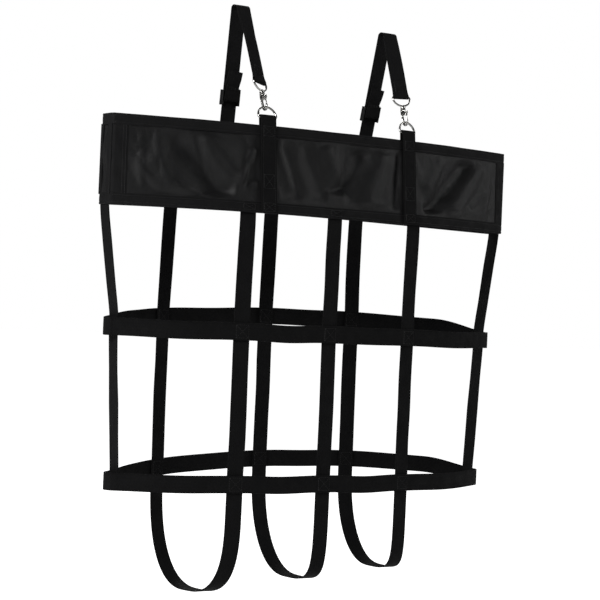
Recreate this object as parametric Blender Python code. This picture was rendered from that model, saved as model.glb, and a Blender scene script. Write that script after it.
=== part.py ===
"""Webbing hay net: a fabric collar, a net of flat webbing below it, and two hanging straps with snap hooks.

Metres, +Z up, X along the width, Y from front to back. The origin is the centre of the object's
bounding box. Left is -X and right is +X, seen from the front.
"""

import math

import bmesh
import bpy
from mathutils import Matrix, Vector

# Clearance kept between pieces that touch, and between a pin and its hole
GAP = 0.0003
PIN_GAP = 0.0001

# How far solids reach into each other before they are joined, and past a face before they are cut
JOIN = 0.0004
CUT = 0.001

# Webbing
WEB_WIDTH = 0.025
WEB_THICK = 0.0018
STRAP_THICK = 0.0016

# Collar: a tube of coated fabric, pinched together at the top by the hanging straps
COLLAR_HALF_WIDTH = 0.352
COLLAR_HEIGHT = 0.1265
TOP_DEPTH = 0.0623
TOP_CURVE = 2.2
BOTTOM_DEPTH = 0.0720
BOTTOM_CURVE = 3.0
BACK_RISE = 0.009
GUSSET_HALF = 0.0150
PANEL_THICK = 0.0012
PANEL_END_ROOM = 0.0012
BINDING_HEIGHT = 0.016
BINDING_THICK = 0.0008
END_TAPE_WIDTH = 0.022
ROW_SHARES = (0.3, 0.5, 0.7)
STATION_STEP = 0.034

# Net, with heights below the collar's bottom edge
MIDDLE_END_X = 0.3272
BOTTOM_END_X = 0.3165
RING_END_RADIUS = 0.0138
RING_DEPTH = 0.084
RING_CURVE = 3.0
RING_RISE = 0.0240
RISE_X = 0.050
RISE_DEPTH = 0.045
MIDDLE_RING_DROP = 0.169
MIDDLE_RISE_SPAN = 0.46
BOTTOM_RING_DROP = 0.385
BOTTOM_RISE_SPAN = 0.38
LOOP_DROP = {"left": 0.541, "centre": 0.527, "right": 0.516}
LOOP_SWING = {"left": 0.000, "centre": 0.014, "right": 0.014}
LOOP_ROUNDNESS = {-1: 3.8, 1: 2.4}

# Where the slings' front legs (side -1) and back legs (side 1) are sewn to the rings and under the hem
RING_X = {
    -1: {"left": -0.1625, "centre": -0.0175, "right": 0.1278},
    1: {"left": -0.2125, "centre": -0.0223, "right": 0.1345},
}
HEM_X = {
    -1: {"left": -0.1544, "centre": -0.0070, "right": 0.1396},
    1: {"left": -0.2114, "centre": -0.0278, "right": 0.1275},
}
FACET_HALF = 0.0135
SEWN_LAP = 0.030
BEND_ROOM = 0.002

# Hanging straps
STRAP_X = {"left": -0.1232, "right": 0.1285}
APEX_Y = {"left": 0.030, "right": 0.007}
APEX_RISE = {"left": 0.3073, "right": 0.2935}
APEX_HALF_FLAT = 0.0048
ROOT_RISE = 0.0015
TWIST_ROWS = (0.020, 0.035, 0.055, 0.075)
FRONT_LAYER_END = 0.0022
BACK_LAYER_END = 0.0042
TAB_LAP = 0.040
TAB_LOOP_RADIUS = 0.0029
BAR_ABOVE_COLLAR = 0.0117
EYE_TWIST = {"left": math.radians(20), "right": math.radians(-8)}

# Metal wire parts
RING_WIRE = 0.0015
D_HALF_WIDTH = 0.0145
D_HEIGHT = 0.0173
D_CORNER = 0.0022
EYE_WIRE = 0.0014
EYE_HALF_WIDTH = 0.0145
EYE_BAR_S = 0.0460
EYE_NECK_S = 0.0312
NECK_S = (0.0296, 0.0318)
NECK_RADIUS = 0.0024

# Snap hook, along its own axis S from the centre line of the bow's lowest point
HOOK_WIRE = 0.0015
BOW_RADIUS = 0.0047
RING_SEAT_S = 0.0042
BARREL_S = (0.0252, 0.0292)
BARREL_RADIUS = 0.0038
STEM_RADIUS = 0.0012
BORE_RADIUS = 0.0016
HEAD_RADIUS = 0.0021
HEAD_S = (0.0233, 0.0248)
SPINE_S = (0.0120, 0.0226)
SPINE_TOP = (0.0034, 0.0276)
TIP_S = 0.0066
EAR_S = (0.0172, 0.0222)
EAR_HALF = 0.0030
EAR_B = -0.0062
GATE_SLOT_B = (-0.0080, -0.0018)
GATE_SLOT_S = (0.0150, 0.0218)
PIVOT_B = -0.0043
PIVOT_S = 0.0197
GATE_HALF = 0.0013
HUB_RADIUS = 0.0017
PIN_RADIUS = 0.0007
GATE_TIP_S = 0.0076
LEVER_B = (-0.0014, 0.0006)
LUG_B = (-0.0032, -0.0008)
LUG_S = (-0.0064, -0.0042)
SPRING_WIRE = 0.00016
SPRING_RADIUS = 0.00118
SPRING_TURNS = 2.0
SPRING_STEPS = 12
SPRING_START = 0.00045
SPRING_LENGTH = 0.00055
SPRING_ROOM = 0.0011

# Slider with its end bars outside the strap and its centre bar inside it
SLIDER_S = 0.046
SLIDER_HALF_LENGTH = 0.0118
SLIDER_HALF_WIDTH = 0.0170
SLIDER_BAR = 0.0044
SLIDER_BAR_THICK = 0.002
RETURN_LENGTH = 0.052
RETURN_TAIL = 0.016

BLACK = (0.008, 0.008, 0.009)
NICKEL = (0.62, 0.62, 0.60)

X_AXIS = Vector((1, 0, 0))
Y_AXIS = Vector((0, 1, 0))
Z_AXIS = Vector((0, 0, 1))
COLLAR_BOTTOM = (max(LOOP_DROP.values()) + WEB_THICK / 2 - max(APEX_RISE.values()) - STRAP_THICK / 2) / 2
COLLAR_TOP = COLLAR_BOTTOM + COLLAR_HEIGHT
MIDDLE_RING_Z = COLLAR_BOTTOM - MIDDLE_RING_DROP
BOTTOM_RING_Z = COLLAR_BOTTOM - BOTTOM_RING_DROP
SEWN_X = {side: {*STRAP_X.values(), *hem.values()} for side, hem in HEM_X.items()}


# ---------------------------------------------------------------- scene and materials

def clear_scene():
    for obj in list(bpy.data.objects):
        bpy.data.objects.remove(obj, do_unlink=True)


def make_material(name, colour, roughness, metallic):
    material = bpy.data.materials.new(name)
    material.use_nodes = True
    shader = material.node_tree.nodes["Principled BSDF"]
    shader.inputs["Base Color"].default_value = (*colour, 1.0)
    shader.inputs["Roughness"].default_value = roughness
    shader.inputs["Metallic"].default_value = metallic
    return material


def make_object(name, bm, material, parent=None, smooth=False):
    """Turn a bmesh given in world space into a named object whose origin is its parent's."""
    bmesh.ops.recalc_face_normals(bm, faces=bm.faces)
    mesh = bpy.data.meshes.new(name)
    bm.to_mesh(mesh)
    bm.free()
    obj = bpy.data.objects.new(name, mesh)
    bpy.context.scene.collection.objects.link(obj)
    if material:
        mesh.materials.append(material)
    if smooth:
        mesh.shade_smooth()
        mesh.set_sharp_from_angle(angle=math.radians(40))
    if parent:
        mesh.transform(parent.matrix_world.inverted())
        obj.parent = parent
    return obj


def make_pivot(name, position):
    """An empty on a joint's axis. Its pieces are parented to it."""
    pivot = bpy.data.objects.new(name, None)
    pivot.empty_display_size = 0.01
    pivot.location = position
    bpy.context.scene.collection.objects.link(pivot)
    bpy.context.view_layer.update()
    return pivot


def combine(base, others, operation):
    """Apply exact Booleans to base and remove the objects that it was combined with."""
    for other in others:
        modifier = base.modifiers.new(operation.lower(), "BOOLEAN")
        modifier.solver = "EXACT"
        modifier.operation = operation
        modifier.object = other
    bpy.context.view_layer.update()
    graph = bpy.context.evaluated_depsgraph_get()
    result = bpy.data.meshes.new_from_object(base.evaluated_get(graph))
    base.modifiers.clear()
    base.data = result
    for other in others:
        bpy.data.objects.remove(other, do_unlink=True)
    return base


def tidy_faces(obj, smooth):
    """Merge the slivers that a Boolean leaves, and shade the piece."""
    bm = bmesh.new()
    bm.from_mesh(obj.data)
    bmesh.ops.remove_doubles(bm, verts=bm.verts, dist=0.00001)
    bmesh.ops.recalc_face_normals(bm, faces=bm.faces)
    bm.to_mesh(obj.data)
    bm.free()
    if smooth:
        obj.data.shade_smooth()
        obj.data.set_sharp_from_angle(angle=math.radians(40))


# ---------------------------------------------------------------- sweeps

def split_face(bm, a, b, c, d):
    """Two triangles for the twisted face a-b-c-d, cut along the same diagonal on all pieces."""
    if a.co.z < b.co.z:
        bm.faces.new((a, b, c))
        bm.faces.new((a, c, d))
    else:
        bm.faces.new((a, b, d))
        bm.faces.new((b, c, d))


def sweep(sections, closed=False, twisted=False):
    """Skin a list of equal corner loops into one closed solid."""
    bm = bmesh.new()
    rows = [[bm.verts.new(corner) for corner in section] for section in sections]
    count = len(rows[0])
    pairs = list(zip(rows, rows[1:]))
    if closed:
        pairs.append((rows[-1], rows[0]))
    for row_a, row_b in pairs:
        for i in range(count):
            j = (i + 1) % count
            corners = (row_a[i], row_a[j], row_b[j], row_b[i])
            if twisted:
                split_face(bm, *corners)
            else:
                bm.faces.new(corners)
    if not closed:
        bm.faces.new(rows[0])
        bm.faces.new(list(reversed(rows[-1])))
    return bm


def tangents(points, closed=False):
    """Unit directions along a path, halfway between the two sides at each corner."""
    result = []
    last = len(points) - 1
    for i, point in enumerate(points):
        before = points[i - 1] if i > 0 or closed else point
        after = points[(i + 1) % len(points)] if i < last or closed else point
        into = (point - before).normalized() if point != before else None
        out = (after - point).normalized() if point != after else None
        result.append(((into or out) + (out or into)).normalized())
    return result


def miter(points, closed=False):
    """How much wider a corner is than the strip, so that the strip keeps its thickness."""
    result = []
    last = len(points) - 1
    for i, point in enumerate(points):
        if not closed and i in (0, last):
            result.append(1.0)
            continue
        into = (point - points[i - 1]).normalized()
        out = (points[(i + 1) % len(points)] - point).normalized()
        half = math.sqrt(max(0.25, (1 + into.dot(out)) / 2))
        result.append(1 / half)
    return result


def ribbon(points, across, width, thick, twisted=False):
    """A flat strip along a path. across holds the direction of its width at each point."""
    sections = []
    for point, along, side, stretch in zip(points, tangents(points), across, miter(points)):
        side = (side - along * side.dot(along)).normalized() * (width / 2)
        normal = along.cross(side).normalized() * (thick / 2 * stretch)
        sections.append([
            point + side + normal,
            point - side + normal,
            point - side - normal,
            point + side - normal,
        ])
    return sweep(sections, twisted=twisted)


def wire(points, normal, radius, sides=8, closed=False):
    """A round wire along a path that lies in the plane of the given normal."""
    sections = []
    rows = zip(points, tangents(points, closed), miter(points, closed))
    for point, along, stretch in rows:
        inward = along.cross(normal).normalized()
        section = []
        for i in range(sides):
            turn = 2 * math.pi * (i + 0.5) / sides
            section.append(
                point + inward * (radius * stretch * math.cos(turn)) + normal * (radius * math.sin(turn))
            )
        sections.append(section)
    return sweep(sections, closed)


def arc(centre, radius, start, stop, count):
    """Points on a circle in a plane, as (first, second) coordinates."""
    step = (stop - start) / count
    return [
        (centre[0] + radius * math.cos(start + step * i), centre[1] + radius * math.sin(start + step * i))
        for i in range(count + 1)
    ]


def block(low, high):
    """An axis-aligned box."""
    bm = bmesh.new()
    size = Vector(high) - Vector(low)
    middle = (Vector(high) + Vector(low)) / 2
    matrix = Matrix.Translation(middle) @ Matrix.Diagonal((*size, 1.0))
    bmesh.ops.create_cube(bm, size=1.0, matrix=matrix)
    return bm


def rod(start, end, radius, sides=16):
    """A round bar between two points."""
    bm = bmesh.new()
    along = end - start
    turn = Z_AXIS.rotation_difference(along).to_matrix().to_4x4()
    matrix = Matrix.Translation((start + end) / 2) @ turn
    bmesh.ops.create_cone(
        bm, cap_ends=True, segments=sides, radius1=radius, radius2=radius, depth=along.length, matrix=matrix
    )
    return bm


# ---------------------------------------------------------------- plan curves

def facet_spans(centres):
    """The flat facets under the strips that are sewn on. Strips that overlap share one facet."""
    spans = []
    for centre in sorted(centres):
        low = centre - FACET_HALF
        if spans and low < spans[-1][1]:
            low = spans.pop()[0]
        spans.append((low, centre + FACET_HALF))
    return spans


def stations(start, stop, centres, end=0.0):
    """X positions across the width. A flat facet lies under each sewn strip, and one at each end."""
    spans = facet_spans(centres)
    marks = {start, start + end, stop - end, stop}
    for span in spans:
        marks |= set(span)
    marks = sorted(marks)
    filled = []
    for left, right in zip(marks, marks[1:]):
        count = 1 if (left, right) in spans else max(1, round((right - left) / STATION_STEP))
        filled += [left + (right - left) * i / count for i in range(count)]
    return filled + [stop]


def collar_depth(x, up):
    """Distance from the mid plane to a collar panel. up is 0 at the bottom edge and 1 at the top edge."""
    depth = BOTTOM_DEPTH + (TOP_DEPTH - BOTTOM_DEPTH) * up
    curve = BOTTOM_CURVE + (TOP_CURVE - BOTTOM_CURVE) * up
    return GUSSET_HALF + (depth - GUSSET_HALF) * (1 - abs(x / COLLAR_HALF_WIDTH) ** curve)


def ring_end(end_x):
    """How a ring's end is rounded: the lean of the band there, and where its straight run stops."""
    lean = math.atan((RING_DEPTH - RING_END_RADIUS) * RING_CURVE / end_x)
    reach = end_x + RING_END_RADIUS * math.sin(lean)
    return lean, reach, RING_END_RADIUS * math.cos(lean)


def ring_depth(x, end_x):
    """Distance from the line through the ring's ends to its front or back half."""
    _, reach, end_depth = ring_end(end_x)
    return end_depth + (RING_DEPTH - end_depth) * (1 - abs(x / reach) ** RING_CURVE)


def collar_point(x, up, side):
    """A point on the middle surface of the front panel (side -1) or the back panel (side 1)."""
    height = COLLAR_HEIGHT * up
    if side > 0:
        height += BACK_RISE * (1 - up) * (1 - (x / COLLAR_HALF_WIDTH) ** 2)
    return Vector((x, side * collar_depth(x, up), COLLAR_BOTTOM + height))


def panel_frames(side):
    """Bottom point, top point and outward offset of a unit length, at each station across a panel."""
    half = COLLAR_HALF_WIDTH - PANEL_THICK - GAP - PANEL_END_ROOM
    places = stations(-half, half, SEWN_X[side], END_TAPE_WIDTH)
    low = [collar_point(x, 0, side) for x in places]
    high = [collar_point(x, 1, side) for x in places]
    middle = [(a + b) / 2 for a, b in zip(low, high)]
    frames = []
    for a, b, along, stretch in zip(low, high, tangents(middle), miter(middle)):
        outward = (b - a).cross(along).normalized() * side
        frames.append((a, b, outward * stretch))
    return frames


def collar_facet(x, side):
    """Bottom and top points, width direction and outward normal of the panel facet at x."""
    spans = facet_spans(SEWN_X[side])
    left, right = next(span for span in spans if span[0] < x < span[1])
    share = (x - left) / (right - left)
    low = collar_point(left, 0, side).lerp(collar_point(right, 0, side), share)
    high = collar_point(left, 1, side).lerp(collar_point(right, 1, side), share)
    across = (collar_point(right, 0.5, side) - collar_point(left, 0.5, side)).normalized()
    outward = (high - low).cross(across).normalized() * side
    return low, high, across, outward


def ring_facet(x, side, end_x):
    """Midpoint in plan, width direction and outward normal of the ring facet at x."""
    left = Vector((x - FACET_HALF, side * ring_depth(x - FACET_HALF, end_x), 0))
    right = Vector((x + FACET_HALF, side * ring_depth(x + FACET_HALF, end_x), 0))
    across = (right - left).normalized()
    return (left + right) / 2, across, Z_AXIS.cross(across) * side


# ---------------------------------------------------------------- collar

def panel_section(low, high, outward, outline):
    """Place (outward, height above the bottom edge) pairs on a panel at one station."""
    rise = (high - low) / COLLAR_HEIGHT
    return [low + outward * out + rise * height for out, height in outline]


def slab_outline(low, high, thick):
    """A panel's upright section. Its rows keep the twisted faces close to the bindings' faces."""
    rows = [low, BINDING_HEIGHT]
    rows += [COLLAR_HEIGHT * share for share in ROW_SHARES]
    rows += [COLLAR_HEIGHT - BINDING_HEIGHT, high]
    return [(-thick / 2, row) for row in rows] + [(thick / 2, row) for row in reversed(rows)]


def binding_outline(edge, into):
    """A U that folds over a panel's edge. into is 1 or -1, the way from the edge into the panel."""
    inner = PANEL_THICK / 2 + GAP
    outer = inner + BINDING_THICK
    fold = edge + into * BINDING_THICK
    end = edge + into * BINDING_HEIGHT
    return [
        (outer, end), (outer, edge), (-outer, edge), (-outer, end),
        (-inner, end), (-inner, fold), (inner, fold), (inner, end),
    ]


def build_end_tapes(name, side, tape, pivot):
    """An upright tape sewn on the outside of a panel at each end, between the bindings."""
    inner = PANEL_THICK / 2 + GAP
    rows = [BINDING_HEIGHT + GAP, *(COLLAR_HEIGHT * share for share in ROW_SHARES)]
    rows.append(COLLAR_HEIGHT - BINDING_HEIGHT - GAP)
    outline = [(inner, row) for row in rows] + [(inner + BINDING_THICK, row) for row in reversed(rows)]
    frames = panel_frames(side)
    for end, pair in (("left", frames[:2]), ("right", frames[-2:])):
        sections = [panel_section(low, high, outward, outline) for low, high, outward in pair]
        make_object(f"{name}_end_tape_{end}", sweep(sections, twisted=True), tape, pivot)


def build_collar_side(name, side, fabric, tape, pivot):
    """One panel with the binding tape folded over its top and bottom edges."""
    inset = BINDING_THICK + GAP
    pieces = (
        (f"{name}_panel", slab_outline(inset, COLLAR_HEIGHT - inset, PANEL_THICK), fabric),
        (f"{name}_top_binding", binding_outline(COLLAR_HEIGHT, -1), tape),
        (f"{name}_bottom_binding", binding_outline(0.0, 1), tape),
    )
    frames = panel_frames(side)
    for piece, outline, material in pieces:
        sections = [panel_section(low, high, outward, outline) for low, high, outward in frames]
        make_object(piece, sweep(sections, twisted=True), material, pivot)


def build_gussets(fabric):
    for name, side in (("side_gusset_left", -1), ("side_gusset_right", 1)):
        inner = side * (COLLAR_HALF_WIDTH - PANEL_THICK)
        outer = side * COLLAR_HALF_WIDTH
        low = (min(inner, outer), -GUSSET_HALF, COLLAR_BOTTOM)
        high = (max(inner, outer), GUSSET_HALF, COLLAR_TOP)
        make_object(name, block(low, high), fabric)


def bar_centre(side):
    """Centre of the D-ring's straight bar, inside the tab's loop."""
    low, high, _, _ = collar_facet(STRAP_X[side], -1)
    return high + (high - low).normalized() * BAR_ABOVE_COLLAR


def build_tabs(webbing, front_pivot):
    """Each tab runs up the outside of the front panel, round the D-ring's bar and down inside."""
    for side, x in STRAP_X.items():
        low, high, across, outward = collar_facet(x, -1)
        up = (high - low).normalized()
        length = (high - low).length
        outline = [(TAB_LOOP_RADIUS, 0.0)]
        outline += arc((0, length + BAR_ABOVE_COLLAR), TAB_LOOP_RADIUS, 0, math.pi, 10)
        outline += [(-TAB_LOOP_RADIUS, length - TAB_LAP)]
        points = [low + outward * out + up * height for out, height in outline]
        bm = ribbon(points, [across] * len(points), WEB_WIDTH, WEB_THICK)
        make_object(f"front_tab_{side}", bm, webbing, front_pivot)


# ---------------------------------------------------------------- net

def ring_height(x, y, base):
    """The back half of a ring hangs higher than its front half, and least so at its left end."""
    span = MIDDLE_RISE_SPAN if base == MIDDLE_RING_Z else BOTTOM_RISE_SPAN
    share = min(1.0, max(0.0, y / RISE_DEPTH))
    return base + RING_RISE * max(0.0, 1 - ((x - RISE_X) / span) ** 2) * share * share * (3 - 2 * share)


def build_ring(name, base, end_x, webbing):
    """A closed loop of webbing with rounded ends that the side straps are sewn into."""
    lean, reach, _ = ring_end(end_x)
    front = [(x, -ring_depth(x, end_x)) for x in stations(-reach, reach, RING_X[-1].values())]
    back = [(x, ring_depth(x, end_x)) for x in reversed(stations(-reach, reach, RING_X[1].values()))]
    cap = math.pi / 2 - lean
    right = arc((end_x, 0), RING_END_RADIUS, -cap, cap, 7)[1:-1]
    left = arc((-end_x, 0), RING_END_RADIUS, math.pi - cap, math.pi + cap, 7)[1:-1]
    plan = front + right + back + left
    points = [Vector((x, y, 0)) for x, y in plan]
    sections = []
    for point, along, stretch in zip(points, tangents(points, True), miter(points, True)):
        outward = Vector((along.y, -along.x, 0)) * (WEB_THICK / 2 * stretch)
        middle = point + Z_AXIS * ring_height(point.x, point.y, base)
        up = Z_AXIS * (WEB_WIDTH / 2)
        outer, inner = middle + outward, middle - outward
        sections.append([outer - up, outer + up, inner + up, inner - up])
    make_object(name, sweep(sections, True), webbing)


def sling_side(name, side):
    """One leg of a sling from its sewn top down to its lowest point, as (point, width direction)."""
    x = RING_X[side][name]
    low, high, collar_across, collar_out = collar_facet(HEM_X[side][name], side)
    under_collar = PANEL_THICK / 2 + BINDING_THICK + 2 * GAP + WEB_THICK / 2
    under_ring = WEB_THICK + GAP
    rise = (high - low) / COLLAR_HEIGHT
    hem = low - collar_out * under_collar
    leg = [
        (hem + rise * SEWN_LAP, collar_across),
        (hem - rise * BEND_ROOM, collar_across),
    ]
    flat = WEB_WIDTH / 2 + BEND_ROOM
    for base, end_x in ((MIDDLE_RING_Z, MIDDLE_END_X), (BOTTOM_RING_Z, BOTTOM_END_X)):
        ring_mid, ring_across, ring_out = ring_facet(x, side, end_x)
        inside = ring_mid - ring_out * under_ring
        level = ring_height(ring_mid.x, ring_mid.y, base)
        leg.append((inside + Z_AXIS * (level + flat), ring_across))
        leg.append((inside + Z_AXIS * (level - flat), ring_across))
    return leg


def loop_points(front, back, drop, swing):
    """The rounded bottom of a sling between the ends of its two legs."""
    start, start_across = front
    end, end_across = back
    centre_y = (start.y + end.y) / 2
    half = (end.y - start.y) / 2
    steps = 18
    result = []
    for i in range(1, steps):
        turn = math.pi * i / steps
        share = (1 - math.cos(turn)) / 2
        side = math.copysign(1, -math.cos(turn))
        power = 2 / LOOP_ROUNDNESS[int(side)]
        side *= abs(math.cos(turn)) ** power
        dip = math.sin(turn) ** power
        edge_z = start.z + (end.z - start.z) * share
        x = start.x + (end.x - start.x) * share
        y = centre_y + half * side - swing * math.sin(turn) ** 2
        z = edge_z + (COLLAR_BOTTOM - drop - edge_z) * dip
        result.append((Vector((x, y, z)), start_across.lerp(end_across, share)))
    return result


def build_slings(webbing):
    for name, drop in LOOP_DROP.items():
        front = sling_side(name, -1)
        back = sling_side(name, 1)
        loop = loop_points(front[-1], back[-1], drop, LOOP_SWING[name])
        rows = front + loop + list(reversed(back))
        points = [point for point, _ in rows]
        across = [direction for _, direction in rows]
        make_object(f"sling_{name}", ribbon(points, across, WEB_WIDTH, WEB_THICK), webbing)


def build_side_straps(webbing):
    """The side straps run from inside the collar's ends to the bottom ring."""
    for name, side in (("side_strap_left", -1), ("side_strap_right", 1)):
        top_x = side * (COLLAR_HALF_WIDTH - PANEL_THICK - GAP - WEB_THICK / 2)
        outline = [
            (top_x, COLLAR_BOTTOM + SEWN_LAP),
            (top_x, COLLAR_BOTTOM - BEND_ROOM),
            (side * MIDDLE_END_X, MIDDLE_RING_Z + WEB_WIDTH / 2),
            (side * MIDDLE_END_X, MIDDLE_RING_Z - WEB_WIDTH / 2),
            (side * BOTTOM_END_X, BOTTOM_RING_Z + WEB_WIDTH / 2),
            (side * BOTTOM_END_X, BOTTOM_RING_Z - WEB_WIDTH / 2),
        ]
        points = [Vector((x, 0, z)) for x, z in outline]
        bm = ribbon(points, [Y_AXIS] * len(points), WEB_WIDTH - 2 * GAP, WEB_THICK)
        make_object(name, bm, webbing)


# ---------------------------------------------------------------- hanging straps

def strap_root(side):
    """Where a strap leaves the back panel: the hinge line of its rear leg."""
    low, high, _, outward = collar_facet(STRAP_X[side], 1)
    under = PANEL_THICK / 2 + BINDING_THICK + 2 * GAP + STRAP_THICK / 2
    up = (high - low).normalized()
    return high - outward * under + up * ROOT_RISE


def apex_front(side):
    return Vector((STRAP_X[side], APEX_Y[side] - APEX_HALF_FLAT, COLLAR_BOTTOM + APEX_RISE[side]))


def apex_back(side):
    return Vector((STRAP_X[side], APEX_Y[side] + APEX_HALF_FLAT, COLLAR_BOTTOM + APEX_RISE[side]))


def snap_frame(side):
    """Origin, axis S from the D-ring's bar to the rail, B across the hook, and W along its width."""
    bar = bar_centre(side)
    target = apex_front(side)
    axis = Vector((0, target.y - bar.y, target.z - bar.z)).normalized()
    across_hook = axis.cross(X_AXIS).normalized()
    return bar + axis * (D_HEIGHT - RING_SEAT_S), axis, across_hook, X_AXIS.copy()


def build_strap_roots(webbing):
    for side in STRAP_X:
        low, high, across, _ = collar_facet(STRAP_X[side], 1)
        up = (high - low).normalized()
        root = strap_root(side)
        points = [root - up * SEWN_LAP, root - up * GAP]
        bm = ribbon(points, [across] * 2, WEB_WIDTH, STRAP_THICK)
        make_object(f"strap_root_{side}", bm, webbing)


def build_strap_rear(side, webbing, pivot):
    """The rear leg runs up to the rail and ends at the front of the short flat on top of it."""
    points = [strap_root(side) + Z_AXIS * GAP, apex_back(side), apex_front(side) + Y_AXIS * GAP]
    bm = ribbon(points, [X_AXIS] * 3, WEB_WIDTH, STRAP_THICK)
    make_object(f"strap_rear_{side}", bm, webbing, pivot)


def leg_frame(side):
    """Start of the rear leg, its direction, and its inward normal."""
    start = strap_root(side)
    along = (apex_back(side) - start).normalized()
    inward = along.cross(X_AXIS).normalized()
    if inward.y > 0:
        inward = -inward
    return start, along, inward


def leg_block(side, low, high):
    """A box given as (x, along, inward) from the middle of the rear leg's slider seat."""
    start, along, inward = leg_frame(side)
    centre = start + along * SLIDER_S
    matrix = Matrix((X_AXIS, along, inward)).transposed().to_4x4()
    bm = block(low, high)
    bm.transform(Matrix.Translation(centre) @ matrix)
    return bm


def build_slider(side, plastic, pivot):
    """Two side rails, two end bars behind the strap and a centre bar in front of it."""
    bar_in = STRAP_THICK / 2 + GAP + STRAP_THICK + GAP
    bar_out = bar_in + SLIDER_BAR_THICK
    end_in = STRAP_THICK / 2 + GAP
    end_out = end_in + SLIDER_BAR_THICK
    slot = WEB_WIDTH / 2 + 2 * GAP
    length = SLIDER_HALF_LENGTH
    solids = []
    for sign in (-1, 1):
        rail = sorted((sign * slot, sign * SLIDER_HALF_WIDTH))
        low = (rail[0], -length, -end_out)
        high = (rail[1], length, bar_out)
        solids.append(leg_block(side, low, high))
    overlap = slot + CUT
    near_end = length - JOIN
    for low_s, high_s in ((-near_end, SLIDER_BAR - length), (length - SLIDER_BAR, near_end)):
        solids.append(leg_block(side, (-overlap, low_s, JOIN - end_out), (overlap, high_s, -end_in)))
    half_bar = SLIDER_BAR / 2
    solids.append(leg_block(side, (-overlap, -half_bar, bar_in), (overlap, half_bar, bar_out - JOIN)))
    objects = [
        make_object(f"strap_slider_{side}" if i == 0 else f"bar_{i}", bm, plastic if i == 0 else None)
        for i, bm in enumerate(solids)
    ]
    slider = combine(objects[0], objects[1:], "UNION")
    tidy_faces(slider, False)
    adopt(slider, pivot)


def adopt(obj, pivot):
    """Parent a finished object to its joint's pivot without moving it."""
    obj.data.transform(pivot.matrix_world.inverted() @ obj.matrix_world)
    obj.matrix_world = Matrix.Identity(4)
    obj.parent = pivot


def build_return(side, webbing, pivot):
    """The strap's sewn end: down inside the rear leg, round the slider's centre bar and up a little."""
    start, along, inward = leg_frame(side)
    near = STRAP_THICK + GAP
    radius = (STRAP_THICK + 2 * GAP + SLIDER_BAR_THICK) / 2
    turn_s = SLIDER_S - SLIDER_BAR / 2 - GAP
    outline = [(near, SLIDER_S + RETURN_LENGTH)]
    outline += [(near + radius + b, turn_s + s) for b, s in arc((0, 0), radius, -math.pi, 0, 8)]
    outline += [(near + 2 * radius, SLIDER_S + RETURN_TAIL)]
    points = [start + inward * b + along * s for b, s in outline]
    bm = ribbon(points, [X_AXIS] * len(points), WEB_WIDTH, STRAP_THICK)
    make_object(f"strap_return_{side}", bm, webbing, pivot)


def build_strap_front(side, webbing, pivot):
    """The front leg: down from the rail, round the swivel eye's bar, and up again as a second layer."""
    origin, axis, across_hook, width = snap_frame(side)
    loop = EYE_WIRE + GAP + STRAP_THICK / 2
    thin = (STRAP_THICK + GAP) / 2
    top_s = (apex_front(side) - origin).dot(axis)
    outline = [(-thin, top_s - FRONT_LAYER_END)]
    outline += [(-thin, EYE_BAR_S + row) for row in reversed(TWIST_ROWS)]
    outline += [(b, EYE_BAR_S + s) for b, s in arc((0, 0), loop, -math.pi, 0, 10)]
    outline += [(thin, EYE_BAR_S + row) for row in TWIST_ROWS]
    outline += [(thin, top_s - BACK_LAYER_END)]
    rows = []
    for b, s in outline:
        share = min(1.0, max(0.0, (top_s - s) / (top_s - EYE_BAR_S)))
        turn = Matrix.Rotation(EYE_TWIST[side] * share, 3, axis)
        rows.append((origin + axis * s + turn @ across_hook * b, turn @ width))
    points = [point for point, _ in rows]
    bm = ribbon(points, [direction for _, direction in rows], WEB_WIDTH, STRAP_THICK, True)
    make_object(f"strap_front_{side}", bm, webbing, pivot)


# ---------------------------------------------------------------- metal

def d_outline(half_width, height, steps=14):
    """A D lying on its straight bar: the bar's two ends and a rounded arch over them."""
    corner = D_CORNER
    points = [(-half_width + corner, 0.0), (half_width - corner, 0.0)]
    points += arc((half_width - corner, corner), corner, -math.pi / 2, 0, 3)[1:]
    for i in range(1, steps):
        turn = math.pi * i / steps
        points.append((half_width * math.cos(turn), corner + (height - corner) * math.sin(turn)))
    points += arc((corner - half_width, corner), corner, math.pi, 1.5 * math.pi, 3)[:-1]
    return points


def build_d_ring(side, nickel, pivot):
    _, _, across, _ = collar_facet(STRAP_X[side], -1)
    _, axis, _, _ = snap_frame(side)
    centre = bar_centre(side)
    plane_normal = across.cross(axis).normalized()
    up = plane_normal.cross(across)
    points = [centre + across * a + up * z for a, z in d_outline(D_HALF_WIDTH, D_HEIGHT)]
    make_object(f"d_ring_{side}", wire(points, plane_normal, RING_WIRE, 10, True), nickel, pivot, True)


def build_swivel_eye(side, nickel, pivot):
    """A D of wire for the strap, with a stem whose head holds it in the hook's barrel."""
    origin, axis, across_hook, width = snap_frame(side)
    turn = Matrix.Rotation(EYE_TWIST[side], 3, axis)
    width = turn @ width
    height = EYE_BAR_S - EYE_NECK_S
    outline = d_outline(EYE_HALF_WIDTH, height, 12)
    points = [origin + axis * (EYE_BAR_S - z) + width * a for a, z in outline]
    eye = make_object(f"swivel_eye_{side}", wire(points, turn @ across_hook, EYE_WIRE, 8, True), nickel)
    neck = rod(origin + axis * NECK_S[0], origin + axis * NECK_S[1], NECK_RADIUS, 14)
    stem = rod(origin + axis * (HEAD_S[0] + JOIN), origin + axis * (NECK_S[0] + JOIN), STEM_RADIUS, 12)
    head = rod(origin + axis * HEAD_S[0], origin + axis * HEAD_S[1], HEAD_RADIUS, 14)
    others = [make_object(name, bm, None) for name, bm in (("neck", neck), ("stem", stem), ("head", head))]
    combine(eye, others, "UNION")
    tidy_faces(eye, True)
    adopt(eye, pivot)


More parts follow.
